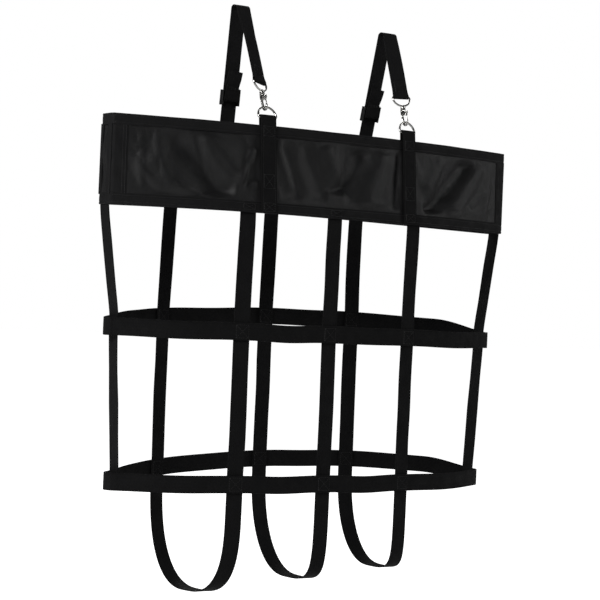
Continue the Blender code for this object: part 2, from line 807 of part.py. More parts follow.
def hook_point(side, b, s, w=0.0):
    origin, axis, across_hook, width = snap_frame(side)
    return origin + across_hook * b + axis * s + width * w


def hook_block(side, low, high):
    """A box given as (width, across, along) in the snap hook's own frame."""
    origin, axis, across_hook, width = snap_frame(side)
    matrix = Matrix((width, across_hook, axis)).transposed().to_4x4()
    bm = block(low, high)
    bm.transform(Matrix.Translation(origin) @ matrix)
    return bm


def build_snap_hook(side, nickel, pivot):
    """A spine that bends into the bow, ears for the gate, and a barrel for the swivel stem."""
    outline = [SPINE_TOP, (BOW_RADIUS, SPINE_S[1]), (BOW_RADIUS, SPINE_S[0])]
    outline += [(b, BOW_RADIUS + s) for b, s in arc((0, 0), BOW_RADIUS, 0, -math.pi, 12)]
    outline += [(-BOW_RADIUS, TIP_S)]
    points = [hook_point(side, b, s) for b, s in outline]
    hook = make_object(f"snap_hook_{side}", wire(points, X_AXIS, HOOK_WIRE, 10), nickel)
    barrel = rod(hook_point(side, 0, BARREL_S[0]), hook_point(side, 0, BARREL_S[1]), BARREL_RADIUS, 20)
    ears = hook_block(side, (-EAR_HALF, EAR_B, EAR_S[0]), (EAR_HALF, BOW_RADIUS, EAR_S[1]))
    solids = [make_object("barrel", barrel, None), make_object("ears", ears, None)]
    combine(hook, solids, "UNION")
    slot_half = GATE_HALF + GAP
    slot_low = (-slot_half, GATE_SLOT_B[0], GATE_SLOT_S[0])
    slot_high = (slot_half, GATE_SLOT_B[1], GATE_SLOT_S[1])
    slot = hook_block(side, slot_low, slot_high)
    bore_low = hook_point(side, 0, BARREL_S[0] - 3 * CUT)
    bore = rod(bore_low, hook_point(side, 0, BARREL_S[1] + CUT), BORE_RADIUS, 16)
    pin_hole = pin_rod(side, EAR_HALF + CUT, PIN_RADIUS + PIN_GAP)
    cutters = [make_object("slot", slot, None), make_object("bore", bore, None)]
    cutters.append(make_object("pin_hole", pin_hole, None))
    combine(hook, cutters, "DIFFERENCE")
    tidy_faces(hook, True)
    adopt(hook, pivot)


def pin_rod(side, half, radius, sides=12):
    """A round bar along the gate's pin, half its length on each side of the hook's middle."""
    low = hook_point(side, PIVOT_B, PIVOT_S, -half)
    return rod(low, hook_point(side, PIVOT_B, PIVOT_S, half), radius, sides)


def build_gate(side, nickel, pivot):
    """The sprung gate: a hub on the pin, a flat lever down to the bow's tip, and a thumb lug."""
    gate = make_object(f"snap_gate_{side}", pin_rod(side, GATE_HALF, HUB_RADIUS, 16), nickel)
    lever_low = (-GATE_HALF, PIVOT_B + LEVER_B[0], GATE_TIP_S)
    lever = hook_block(side, lever_low, (GATE_HALF, PIVOT_B + LEVER_B[1], PIVOT_S))
    lug_low = (-GATE_HALF, PIVOT_B + LUG_B[0], PIVOT_S + LUG_S[0])
    lug = hook_block(side, lug_low, (GATE_HALF, PIVOT_B + LUG_B[1], PIVOT_S + LUG_S[1]))
    combine(gate, [make_object("lever", lever, None), make_object("lug", lug, None)], "UNION")
    pocket = rod(
        hook_point(side, PIVOT_B, PIVOT_S, GATE_HALF - SPRING_ROOM),
        hook_point(side, PIVOT_B, PIVOT_S, GATE_HALF + CUT),
        SPRING_RADIUS + SPRING_WIRE + PIN_GAP,
        14,
    )
    pin_hole = pin_rod(side, EAR_HALF + CUT, PIN_RADIUS + PIN_GAP)
    combine(gate, [make_object("pocket", pocket, None), make_object("hole", pin_hole, None)], "DIFFERENCE")
    tidy_faces(gate, True)
    adopt(gate, pivot)


def build_gate_pin(side, nickel, pivot):
    make_object(f"gate_pin_{side}", pin_rod(side, EAR_HALF, PIN_RADIUS), nickel, pivot, True)


def build_gate_spring(side, nickel, pivot):
    """A short coil round the pin, in the gate's pocket."""
    _, axis, across_hook, width = snap_frame(side)
    centre = hook_point(side, PIVOT_B, PIVOT_S)
    steps = round(SPRING_TURNS * SPRING_STEPS)
    sections = []
    for i in range(steps + 1):
        turn = 2 * math.pi * SPRING_TURNS * i / steps
        radial = across_hook * math.cos(turn) + axis * math.sin(turn)
        middle = centre + width * (SPRING_START + SPRING_LENGTH * i / steps)
        section = []
        for j in range(6):
            angle = 2 * math.pi * j / 6
            out = SPRING_RADIUS + SPRING_WIRE * math.cos(angle)
            section.append(middle + radial * out + width * (SPRING_WIRE * math.sin(angle)))
        sections.append(section)
    make_object(f"gate_spring_{side}", sweep(sections, twisted=True), nickel, pivot, True)


# ---------------------------------------------------------------- assembly

def build():
    clear_scene()
    fabric = make_material("coated_fabric", BLACK, 0.45, 0.0)
    tape = make_material("binding_tape", BLACK, 0.8, 0.0)
    webbing = make_material("webbing", BLACK, 0.85, 0.0)
    nickel = make_material("nickel_plate", NICKEL, 0.22, 1.0)
    plastic = make_material("black_plastic", BLACK, 0.5, 0.0)

    front_pivot = make_pivot("front_hem_pivot", (0, -BOTTOM_DEPTH, COLLAR_BOTTOM))
    for name, side, pivot in (("front", -1, front_pivot), ("back", 1, None)):
        build_collar_side(name, side, fabric, tape, pivot)
        build_end_tapes(name, side, tape, pivot)
    build_gussets(fabric)
    build_tabs(webbing, front_pivot)
    build_ring("middle_ring", MIDDLE_RING_Z, MIDDLE_END_X, webbing)
    build_ring("bottom_ring", BOTTOM_RING_Z, BOTTOM_END_X, webbing)
    build_slings(webbing)
    build_side_straps(webbing)
    build_strap_roots(webbing)
    for side in STRAP_X:
        rear_pivot = make_pivot(f"strap_root_pivot_{side}", strap_root(side))
        build_strap_rear(side, webbing, rear_pivot)
        start, along, _ = leg_frame(side)
        slider_pivot = make_pivot(f"slider_pivot_{side}", start + along * SLIDER_S)
        build_slider(side, plastic, slider_pivot)
        build_return(side, webbing, slider_pivot)
        apex_pivot = make_pivot(f"apex_pivot_{side}", apex_front(side))
        build_strap_front(side, webbing, apex_pivot)
        build_swivel_eye(side, nickel, apex_pivot)
        ring_pivot = make_pivot(f"d_ring_pivot_{side}", bar_centre(side))
        build_d_ring(side, nickel, ring_pivot)
        hook_pivot = make_pivot(f"swivel_pivot_{side}", hook_point(side, 0, BARREL_S[0]))
        build_snap_hook(side, nickel, hook_pivot)
        build_gate_pin(side, nickel, hook_pivot)
        build_gate_spring(side, nickel, hook_pivot)
        gate_pivot = make_pivot(f"gate_pivot_{side}", hook_point(side, PIVOT_B, PIVOT_S))
        build_gate(side, nickel, gate_pivot)


build()
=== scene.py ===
"""Looks of the webbing hay net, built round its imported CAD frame.

Metres, +Z up, X along the width, Y from front to back. Left is -X and right is +X, seen from the front.
"""

import math
import random

import bmesh
import bpy
import numpy as np
from mathutils import Matrix, Vector


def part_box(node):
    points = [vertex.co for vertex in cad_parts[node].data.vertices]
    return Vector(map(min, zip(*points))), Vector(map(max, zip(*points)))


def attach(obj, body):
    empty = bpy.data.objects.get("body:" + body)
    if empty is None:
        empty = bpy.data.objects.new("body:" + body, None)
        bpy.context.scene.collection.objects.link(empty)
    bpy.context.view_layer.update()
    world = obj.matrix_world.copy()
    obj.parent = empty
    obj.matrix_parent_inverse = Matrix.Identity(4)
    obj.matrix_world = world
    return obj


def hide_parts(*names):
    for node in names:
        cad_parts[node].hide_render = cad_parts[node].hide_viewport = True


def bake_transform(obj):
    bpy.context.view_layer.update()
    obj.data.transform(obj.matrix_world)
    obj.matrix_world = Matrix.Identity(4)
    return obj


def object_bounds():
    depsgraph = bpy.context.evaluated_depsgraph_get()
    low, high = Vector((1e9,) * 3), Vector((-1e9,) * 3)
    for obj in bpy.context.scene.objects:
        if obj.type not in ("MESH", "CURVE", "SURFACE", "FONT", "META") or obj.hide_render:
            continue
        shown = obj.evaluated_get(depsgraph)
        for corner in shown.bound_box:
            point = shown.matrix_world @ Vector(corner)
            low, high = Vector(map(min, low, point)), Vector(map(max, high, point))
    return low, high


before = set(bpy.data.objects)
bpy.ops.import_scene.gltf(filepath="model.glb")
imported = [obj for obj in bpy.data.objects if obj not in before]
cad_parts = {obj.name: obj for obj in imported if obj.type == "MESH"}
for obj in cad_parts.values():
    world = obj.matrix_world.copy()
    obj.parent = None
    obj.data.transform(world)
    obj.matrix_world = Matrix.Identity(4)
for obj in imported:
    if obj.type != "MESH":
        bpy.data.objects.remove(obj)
CAD_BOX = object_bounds()

X_AXIS = Vector((1, 0, 0))
Y_AXIS = Vector((0, 1, 0))
Z_AXIS = Vector((0, 0, 1))

# Collar, as in the CAD
COLLAR_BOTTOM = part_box("front_panel")[0].z - 0.0011
COLLAR_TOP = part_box("front_panel")[1].z + 0.0011
COLLAR_HEIGHT = COLLAR_TOP - COLLAR_BOTTOM
HALF_WIDTH = CAD_BOX[1].x
PANEL_END = HALF_WIDTH - 0.0027
TOP_DEPTH, TOP_CURVE = 0.0623, 2.2
BOTTOM_DEPTH, BOTTOM_CURVE = 0.0720, 3.0
BACK_RISE = 0.009
GUSSET_HALF = 0.0150
HEM = 0.016
END_TAPE = 0.022

# Webbing and net, as in the CAD
WEB = 0.025
WEB_THICK = 0.0018
STRAP_THICK = 0.0016
GAP = 0.0003
SHEET_HALF, TAPE_THICK = 0.0006, 0.0008
FACET_HALF = 0.0135
D_HALF, D_HEIGHT, D_WIRE, D_BAR_RISE = 0.0145, 0.0173, 0.0015, 0.0117
EYE_HEIGHT, EYE_WIRE = 0.0148, 0.0014
APEX_HALF = 0.0048
RING_X = {
    -1: {"left": -0.1625, "centre": -0.0175, "right": 0.1278},
    1: {"left": -0.2125, "centre": -0.0223, "right": 0.1345},
}
HEM_X = {
    -1: {"left": -0.1544, "centre": -0.0070, "right": 0.1396},
    1: {"left": -0.2114, "centre": -0.0278, "right": 0.1275},
}
STRAP_X = {"left": -0.1232, "right": 0.1285}
APEX_Y = {"left": 0.030, "right": 0.007}
RING_END_RADIUS, RING_DEPTH, RING_CURVE = 0.0138, 0.084, 3.0
MIDDLE_RING_Z = COLLAR_BOTTOM - 0.169
BOTTOM_RING_Z = COLLAR_BOTTOM - 0.385
RING_END_X = {MIDDLE_RING_Z: 0.3272, BOTTOM_RING_Z: 0.3165}
RING_RISE = 0.0240
RISE_X, RISE_DEPTH = 0.050, 0.045
RISE_SPAN = {MIDDLE_RING_Z: 0.46, BOTTOM_RING_Z: 0.38}
LOOP_DROP = {"left": 0.541, "centre": 0.527, "right": 0.516}
LOOP_SWING = {"left": 0.0, "centre": 0.014, "right": 0.014}
LOOP_ROUNDNESS = {-1: 3.8, 1: 2.4}


# ---------------------------------------------------------------- meshes

def make_object(name, verts, faces, material, uvs=None, smooth=True):
    """A mesh object from plain lists. uvs holds one (u, v) in metres per vertex."""
    mesh = bpy.data.meshes.new(name)
    mesh.from_pydata([tuple(v) for v in verts], [], faces)
    if uvs is not None:
        layer = mesh.uv_layers.new(name="metres")
        loops = np.zeros(len(mesh.loops), dtype=np.int64)
        mesh.loops.foreach_get("vertex_index", loops)
        layer.data.foreach_set("uv", np.asarray(uvs, dtype=np.float32)[loops].ravel())
    mesh.validate()
    mesh.materials.append(material)
    obj = bpy.data.objects.new(name, mesh)
    bpy.context.scene.collection.objects.link(obj)
    if smooth:
        mesh.shade_smooth()
        mesh.set_sharp_from_angle(angle=math.radians(50))
    return obj


def tangents(points, closed=False):
    result = []
    last = len(points) - 1
    for i, point in enumerate(points):
        before = points[i - 1] if i > 0 or closed else point
        after = points[(i + 1) % len(points)] if i < last or closed else point
        result.append((after - before).normalized())
    return result


def smooth_path(rows, step, closed=False):
    """Rounded path through (point, width direction) rows, with points no further apart than step."""
    points = [point for point, _ in rows]
    along = tangents(points, closed)
    count = len(rows)
    result = []
    for i in range(count if closed else count - 1):
        j = (i + 1) % count
        (start, across_a), (end, across_b) = rows[i], rows[j]
        length = (end - start).length
        steps = max(1, math.ceil(length / step))
        for k in range(steps):
            t = k / steps
            h00 = 2 * t**3 - 3 * t**2 + 1
            h10 = t**3 - 2 * t**2 + t
            h01 = 3 * t**2 - 2 * t**3
            h11 = t**3 - t**2
            point = start * h00 + along[i] * (length * h10) + end * h01 + along[j] * (length * h11)
            result.append((point, across_a.lerp(across_b, t)))
    if not closed:
        result.append(rows[-1])
    return result


def band_outline(width, thick):
    """Section of flat webbing: rounded edges, a raised selvedge along each edge and a flat middle."""
    half = [(1.0, 0.0), (0.988, 0.55), (0.955, 0.92), (0.91, 1.0), (0.86, 0.90), (0.60, 0.95), (0.20, 0.98)]
    top = half[1:] + [(-a, h) for a, h in reversed(half[1:])]
    outline = [(1.0, 0.0)] + top + [(-1.0, 0.0)] + [(a, -h) for a, h in reversed(top)]
    return [(a * width / 2, h * thick / 2) for a, h in outline]


def skin_faces(rows, count, closed):
    """Faces over equal corner loops. An open skin gets a cap at each end."""
    faces = []
    for r in range(rows if closed else rows - 1):
        s = (r + 1) % rows
        for i in range(count):
            j = (i + 1) % count
            faces.append((r * count + i, r * count + j, s * count + j, s * count + i))
    if not closed:
        faces.append(tuple(reversed(range(count))))
        faces.append(tuple((rows - 1) * count + i for i in range(count)))
    return faces


def sweep(name, sections, closed, material, uvs):
    """Skin equal corner loops into one closed mesh."""
    verts = [corner for section in sections for corner in section]
    obj = make_object(name, verts, skin_faces(len(sections), len(sections[0]), closed), material, uvs)
    outward(obj)
    return obj


def outward(obj):
    bm = bmesh.new()
    bm.from_mesh(obj.data)
    bmesh.ops.recalc_face_normals(bm, faces=bm.faces)
    bm.to_mesh(obj.data)
    bm.free()


def bake_modifiers(obj):
    """Replace the mesh by what its modifiers make of it."""
    graph = bpy.context.evaluated_depsgraph_get()
    mesh = bpy.data.meshes.new_from_object(obj.evaluated_get(graph))
    obj.modifiers.clear()
    obj.data = mesh
    mesh.shade_smooth()


def band(name, rows, material, width=WEB, thick=WEB_THICK, closed=False, step=0.005):
    """Flat webbing along (point, width direction) rows."""
    dense = smooth_path(rows, step, closed)
    points = [point for point, _ in dense]
    outline = band_outline(width, thick)
    sections, uvs = [], []
    run = 0.0
    for i, ((point, side), along) in enumerate(zip(dense, tangents(points, closed))):
        side = (side - along * side.dot(along)).normalized()
        normal = along.cross(side)
        if i:
            run += (point - points[i - 1]).length
        sections.append([point + side * a + normal * h for a, h in outline])
        uvs += [(a, run) for a, _ in outline]
    return sweep(name, sections, closed, material, uvs)


def wander(rows, seed, normal_of, free=0.05, sway=0.0012, bow=0.0018, twist=2.5):
    """Adds slight natural bends to the long free lengths of a strap between the places where it is sewn."""
    chance = random.Random(seed)
    result = [rows[0]]
    for (start, across_a), (end, across_b) in zip(rows, rows[1:]):
        length = (end - start).length
        if length > free:
            parts = max(2, round(length / 0.045))
            side_sway = chance.uniform(-sway, sway)
            side_bow = chance.uniform(-bow, bow)
            for k in range(1, parts):
                t = k / parts
                swell = math.sin(math.pi * t)
                across = across_a.lerp(across_b, t).normalized()
                normal = normal_of(across)
                along = (end - start).normalized()
                turn = Matrix.Rotation(math.radians(chance.uniform(-twist, twist)) * swell, 3, along)
                point = start.lerp(end, t) + across * (side_sway + chance.uniform(-sway, sway) / 3) * swell
                point += normal * (side_bow + chance.uniform(-bow, bow) / 3) * swell
                result.append((point, turn @ across))
        result.append((end, across_b))
    return result


# ---------------------------------------------------------------- thread

STITCH = [(-0.5, 0.35), (-0.3, 1.0), (0.3, 1.0), (0.5, 0.35)]
THREAD_SIDES = 5


class Thread:
    """Collects sewn lines, and turns them into one mesh of small raised stitches."""

    def __init__(self):
        self.verts = []
        self.faces = []

    def stitch(self, start, end, normal, radius=0.00032):
        along = end - start
        side = along.cross(normal).normalized()
        middle = (start + end) / 2
        base = len(self.verts)
        for share, size in STITCH:
            for i in range(THREAD_SIDES):
                turn = 2 * math.pi * i / THREAD_SIDES
                offset = side * math.cos(turn) + normal * (math.sin(turn) + 0.25)
                self.verts.append(middle + along * share + offset * (radius * size))
        for ring in range(len(STITCH) - 1):
            for i in range(THREAD_SIDES):
                j = (i + 1) % THREAD_SIDES
                a = base + ring * THREAD_SIDES
                b = a + THREAD_SIDES
                self.faces.append((a + i, a + j, b + j, b + i))
        self.faces.append(tuple(base + i for i in reversed(range(THREAD_SIDES))))
        last = base + (len(STITCH) - 1) * THREAD_SIDES
        self.faces.append(tuple(last + i for i in range(THREAD_SIDES)))

    def line(self, points, normals, pitch=0.0033, length=0.0024):
        """Stitches at an even pitch along a polyline."""
        run, reach = 0.0, pitch * 0.5
        for i in range(len(points) - 1):
            start, end = points[i], points[i + 1]
            span = (end - start).length
            if span < 1e-9:
                continue
            along = (end - start) / span
            while reach <= run + span:
                middle = start + along * (reach - run)
                normal = normals[i].lerp(normals[i + 1], (reach - run) / span).normalized()
                self.stitch(middle - along * (length / 2), middle + along * (length / 2), normal)
                reach += pitch
            run += span

    def box(self, centre, across, up, normal, half_a, half_b, cross=True):
        """A sewn box with an X in it, on a flat face."""
        corners = [(-1, -1), (1, -1), (1, 1), (-1, 1), (-1, -1)]
        at = [centre + across * (a * half_a) + up * (b * half_b) for a, b in corners]
        self.line(at, [normal] * 5)
        if cross:
            self.line([at[0], at[2]], [normal] * 2)
            self.line([at[1], at[3]], [normal] * 2)

    def build(self, name, body, material):
        obj = make_object(name, self.verts, self.faces, material)
        outward(obj)
        if isinstance(body, tuple):
            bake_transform(obj)
        else:
            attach(obj, body)
        return obj


# ---------------------------------------------------------------- node materials

class Graph:
    """Short calls for a material's nodes. Sockets and plain numbers can be mixed as inputs."""

    def __init__(self, name):
        self.material = bpy.data.materials.new(name)
        self.material.use_nodes = True
        self.nodes = self.material.node_tree.nodes
        self.links = self.material.node_tree.links
        self.shader = self.nodes["Principled BSDF"]

    def put(self, socket, value):
        if isinstance(value, bpy.types.NodeSocket):
            self.links.new(value, socket)
        else:
            socket.default_value = value

    def add(self, kind, inputs, output=0, **settings):
        node = self.nodes.new(kind)
        for key, value in settings.items():
            setattr(node, key, value)
        for key, value in inputs.items():
            self.put(node.inputs[key], value)
        return node.outputs[output]

    def math(self, operation, a, b=0.0, c=0.0):
        return self.add("ShaderNodeMath", {0: a, 1: b, 2: c}, operation=operation)

    def spread(self, value, low, high, to_low, to_high):
        names = ("Value", "From Min", "From Max", "To Min", "To Max")
        return self.add("ShaderNodeMapRange", dict(zip(names, (value, low, high, to_low, to_high))))

    def noise(self, vector, scale, detail=3.0, rough=0.5):
        inputs = {"Vector": vector, "Scale": scale, "Detail": detail, "Roughness": rough}
        return self.add("ShaderNodeTexNoise", inputs, "Fac")

    def place(self):
        return self.add("ShaderNodeTexCoord", {}, "Object")

    def metres(self):
        """The piece's own (across, along) coordinates in metres."""
        uv = self.add("ShaderNodeUVMap", {}, "UV", uv_map="metres")
        across = self.add("ShaderNodeSeparateXYZ", {0: uv}, "X")
        along = self.add("ShaderNodeSeparateXYZ", {0: uv}, "Y")
        return uv, across, along

    def wave(self, value, pitch, shift=0.0):
        """|sin| ridges, one for each pitch of value."""
        turns = self.math("MULTIPLY_ADD", value, math.pi / pitch, shift)
        return self.math("ABSOLUTE", self.math("SINE", turns))

    def mix(self, share, a, b):
        node = self.nodes.new("ShaderNodeMix")
        node.data_type = "RGBA"
        self.put(node.inputs[0], share)
        self.put(node.inputs[6], a)
        self.put(node.inputs[7], b)
        return node.outputs[2]

    def bump(self, height, distance, normal=None, strength=1.0):
        inputs = {"Height": height, "Distance": distance, "Strength": strength}
        if normal is not None:
            inputs["Normal"] = normal
        return self.add("ShaderNodeBump", inputs, "Normal")

    def finish(self, **inputs):
        for name, value in inputs.items():
            self.put(self.shader.inputs[name], value)
        return self.material


def grey(level, warm=0.0):
    return (level * (1 + warm), level, level * (1 + 0.06 - warm), 1.0)


def webbing_material(name, base, ribs):
    """Ribbed webbing: lengthwise columns of slanted picks, darker towards the selvedges, fuzz along them."""
    g = Graph(name)
    uv, across, along = g.metres()
    place = g.place()
    column = g.math("PINGPONG", g.math("ADD", across, 0.5), 0.0025)
    picks = g.wave(g.math("MULTIPLY_ADD", column, 0.55, along), ribs)
    grooves = g.spread(column, 0.0, 0.0005, 0.0, 1.0)
    stretched = g.add("ShaderNodeVectorMath", {0: uv, 1: (3.0, 1.0, 1.0)}, operation="MULTIPLY")
    yarn = g.noise(stretched, 900.0, 2.0)
    ribbed = g.math("MULTIPLY", picks, g.math("MULTIPLY_ADD", grooves, 0.45, 0.55))
    weave = g.math("MULTIPLY_ADD", yarn, 0.35, ribbed)
    edge = g.spread(g.math("ABSOLUTE", across), 0.0085, 0.0122, 0.0, 1.0)
    worn = g.spread(g.noise(place, 38.0, 4.0), 0.45, 0.75, 0.0, 1.0)
    fuzz = g.spread(g.noise(place, 1500.0, 1.0), 0.55, 0.8, 0.0, 1.0)
    colour = g.mix(weave, grey(base * 0.55), grey(base * 1.35))
    colour = g.mix(g.math("MULTIPLY", edge, 0.45), colour, grey(base * 0.45))
    colour = g.mix(g.math("MULTIPLY", worn, 0.30), colour, grey(base * 1.9, 0.04))
    colour = g.mix(g.math("MULTIPLY", g.math("MULTIPLY", edge, fuzz), 0.30), colour, grey(base * 3.0, 0.03))
    rough = g.spread(g.noise(place, 60.0), 0.3, 0.7, 0.68, 0.86)
    soft = g.bump(g.noise(place, 55.0, 2.0), 0.0007)
    return g.finish(**{
        "Base Color": colour, "Roughness": rough, "Specular IOR Level": 0.10,
        "Sheen Weight": 0.015, "Sheen Roughness": 0.45, "Normal": g.bump(weave, 0.00022, soft),
    })


def tape_material():
    """Grosgrain binding: close ribs across the tape, pulled in along the stitching."""
    g = Graph("binding_tape_looks")
    uv, _, along = g.metres()
    place = g.place()
    ribs = g.wave(along, 0.0009)
    yarn = g.noise(uv, 1400.0, 2.0)
    weave = g.math("MULTIPLY_ADD", yarn, 0.4, g.math("MULTIPLY", ribs, 0.6))
    worn = g.spread(g.noise(place, 30.0, 4.0), 0.42, 0.75, 0.0, 1.0)
    colour = g.mix(weave, grey(0.0035), grey(0.0085))
    colour = g.mix(g.math("MULTIPLY", worn, 0.35), colour, grey(0.012, 0.03))
    rough = g.spread(g.noise(place, 70.0), 0.3, 0.7, 0.62, 0.80)
    soft = g.bump(g.noise(place, 90.0, 2.0), 0.0006)
    return g.finish(**{
        "Base Color": colour, "Roughness": rough, "Specular IOR Level": 0.12,
        "Sheen Weight": 0.014, "Sheen Roughness": 0.4, "Normal": g.bump(weave, 0.00015, soft),
    })


def fabric_material():
    """Coated woven fabric: a fine plain weave under a soft coating, with faint creases and handling marks."""
    g = Graph("coated_fabric_looks")
    _, across, along = g.metres()
    place = g.place()
    warp = g.wave(across, 0.0007)
    weft = g.wave(along, 0.0007, math.pi / 2)
    weave = g.math("MULTIPLY", warp, weft)
    stretched = g.add("ShaderNodeVectorMath", {0: place, 1: (1.0, 1.0, 0.6)}, operation="MULTIPLY")
    crease = g.noise(stretched, 16.0, 5.0, 0.55)
    crush = g.math("ABSOLUTE", g.math("SUBTRACT", g.noise(stretched, 34.0, 3.0), 0.5))
    marks = g.spread(g.noise(place, 24.0, 5.0, 0.65), 0.5, 0.8, 0.0, 1.0)
    colour = g.mix(weave, grey(0.0038), grey(0.0082))
    colour = g.mix(g.math("MULTIPLY", marks, 0.4), colour, grey(0.014, 0.02))
    rough = g.math("MULTIPLY_ADD", marks, 0.12, g.spread(crease, 0.3, 0.7, 0.40, 0.50))
    normal = g.bump(crease, 0.0020)
    normal = g.bump(crush, 0.0012, normal, 0.6)
    return g.finish(**{
        "Base Color": colour, "Roughness": rough, "Specular IOR Level": 0.27,
        "Sheen Weight": 0.01, "Normal": g.bump(weave, 0.00010, normal),
    })


def thread_material():
    g = Graph("thread_looks")
    place = g.place()
    twist = g.wave(g.add("ShaderNodeSeparateXYZ", {0: place}, "Z"), 0.0006)
    colour = g.mix(g.noise(place, 700.0), grey(0.006), grey(0.015, 0.02))
    return g.finish(**{
        "Base Color": colour, "Roughness": 0.55, "Specular IOR Level": 0.35, "Normal": g.bump(twist, 0.00005),
    })


def nickel_material(name, base, rough):
    """Bright plate with a slight cast unevenness, hairline scratches and dulled patches."""
    g = Graph(name)
    place = g.place()
    drawn = g.add("ShaderNodeVectorMath", {0: place, 1: (9.0, 9.0, 1.0)}, operation="MULTIPLY")
    scratch = g.noise(drawn, 900.0, 2.0)
    patches = g.spread(g.noise(place, 260.0, 4.0), 0.45, 0.75, 0.0, 1.0)
    bright, dull = (base, base * 0.99, base * 0.96, 1.0), (base * 0.72, base * 0.70, base * 0.66, 1.0)
    colour = g.mix(patches, bright, dull)
    hairline = g.spread(scratch, 0.3, 0.7, rough - 0.04, rough + 0.08)
    roughness = g.math("ADD", hairline, g.math("MULTIPLY", patches, 0.12))
    cast = g.bump(g.noise(place, 420.0, 2.0), 0.00012)
    return g.finish(**{
        "Base Color": colour, "Metallic": 1.0, "Roughness": roughness,
        "Normal": g.bump(scratch, 0.00003, cast),
    })


def plastic_material():
    """Moulded plastic with a fine spark-eroded grain and rubbed edges."""
    g = Graph("black_plastic_looks")
    place = g.place()
    grain = g.add("ShaderNodeTexVoronoi", {"Vector": place, "Scale": 2600.0}, "Distance")
    rubbed = g.spread(g.noise(place, 160.0, 4.0), 0.5, 0.8, 0.0, 1.0)
    colour = g.mix(rubbed, grey(0.006), grey(0.016))
    return g.finish(**{
        "Base Color": colour, "Roughness": g.spread(rubbed, 0.0, 1.0, 0.42, 0.30),
        "Specular IOR Level": 0.4, "Normal": g.bump(grain, 0.00006),
    })


WEBBING = webbing_material("net_webbing_looks", 0.0042, 0.0021)
STRAP_WEBBING = webbing_material("strap_webbing_looks", 0.0058, 0.0019)
TAPE = tape_material()
FABRIC = fabric_material()
THREAD = thread_material()
NICKEL = nickel_material("nickel_plate_looks", 0.60, 0.13)
STEEL = nickel_material("spring_steel_looks", 0.52, 0.28)
PLASTIC = plastic_material()


# ---------------------------------------------------------------- collar surface

def collar_depth(x, up):
    depth = BOTTOM_DEPTH + (TOP_DEPTH - BOTTOM_DEPTH) * up
    curve = BOTTOM_CURVE + (TOP_CURVE - BOTTOM_CURVE) * up
    return GUSSET_HALF + (depth - GUSSET_HALF) * (1 - abs(x / HALF_WIDTH) ** curve)


def collar_point(x, height, side, out=0.0):
    """A point at an offset outwards from the middle of the front panel (side -1) or back panel (side 1)."""
    up = height / COLLAR_HEIGHT
    step = 0.001
    slope_x = (collar_depth(x + step, up) - collar_depth(x - step, up)) / (2 * step)
    slope_z = (collar_depth(x, up + step) - collar_depth(x, up - step)) / (2 * step * COLLAR_HEIGHT)
    normal = Vector((-slope_x, side, -slope_z)).normalized()
    rise = BACK_RISE * (1 - up) * (1 - (x / HALF_WIDTH) ** 2) if side > 0 else 0.0
    return Vector((x, side * collar_depth(x, up), COLLAR_BOTTOM + height + rise)) + normal * out, normal


def gusset_point(y, height, side, out=0.0):
    """A point on the narrow end of the collar (side -1 left, 1 right). It bulges out a little."""
    bulge = 0.0003 * (1 - (y / 0.0165) ** 2)
    normal = Vector((side, 0.11 * y / 0.0165, 0)).normalized()
    return Vector((side * (HALF_WIDTH - 0.0006 + bulge), y, COLLAR_BOTTOM + height)) + normal * out, normal


def smoothstep(value, low, high):
    t = np.clip((value - low) / (high - low), 0.0, 1.0)
    return t * t * (3 - 2 * t)


def fold(x, height, start, end, width, rise):
    """A soft ridge (or a valley, where rise is negative) along a line on the panel. Heights are shares."""
    ax, az = start[0], start[1] * COLLAR_HEIGHT
    bx, bz = end[0], end[1] * COLLAR_HEIGHT
    length = math.hypot(bx - ax, bz - az)
    ux, uz = (bx - ax) / length, (bz - az) / length
    along = (x - ax) * ux + (height - az) * uz
    off = np.abs((x - ax) * uz - (height - az) * ux)
    over = 0.4 * width
    fade = smoothstep(along, -over, width) * (1 - smoothstep(along, length - width, length + over))
    return rise * np.exp(-((off / width) ** 2)) * fade


FRONT_FOLDS = (
    ((-0.272, 0.84), (-0.180, 0.10), 0.019, -0.0090),
    ((-0.305, 0.62), (-0.236, 0.10), 0.020, 0.0049),
    ((-0.226, 0.90), (-0.158, 0.34), 0.016, 0.0058),
    ((-0.146, 0.74), (-0.179, 0.10), 0.0064, 0.0044),
    ((-0.152, 0.56), (-0.168, 0.10), 0.0050, -0.0036),
    ((-0.142, 0.36), (-0.163, 0.08), 0.0042, 0.0043),
    ((-0.110, 0.92), (-0.084, 0.28), 0.0066, 0.0040),
    ((-0.099, 0.80), (-0.070, 0.20), 0.0100, -0.0043),
    ((-0.060, 0.88), (-0.034, 0.20), 0.0140, -0.0041),
    ((-0.030, 0.86), (0.004, 0.40), 0.0140, 0.0041),
    ((0.050, 0.92), (-0.018, 0.10), 0.0170, -0.0098),
    ((0.082, 0.86), (0.044, 0.12), 0.0190, 0.0075),
    ((0.112, 0.88), (0.100, 0.12), 0.0075, -0.0049),
    ((0.268, 0.92), (0.156, 0.08), 0.0150, -0.0098),
    ((0.292, 0.84), (0.212, 0.12), 0.0150, 0.0067),
    ((0.200, 0.86), (0.164, 0.40), 0.0120, 0.0049),
    ((0.314, 0.86), (0.298, 0.14), 0.0080, 0.0026),
    ((0.262, 0.28), (0.300, 0.52), 0.0060, 0.0023),
)
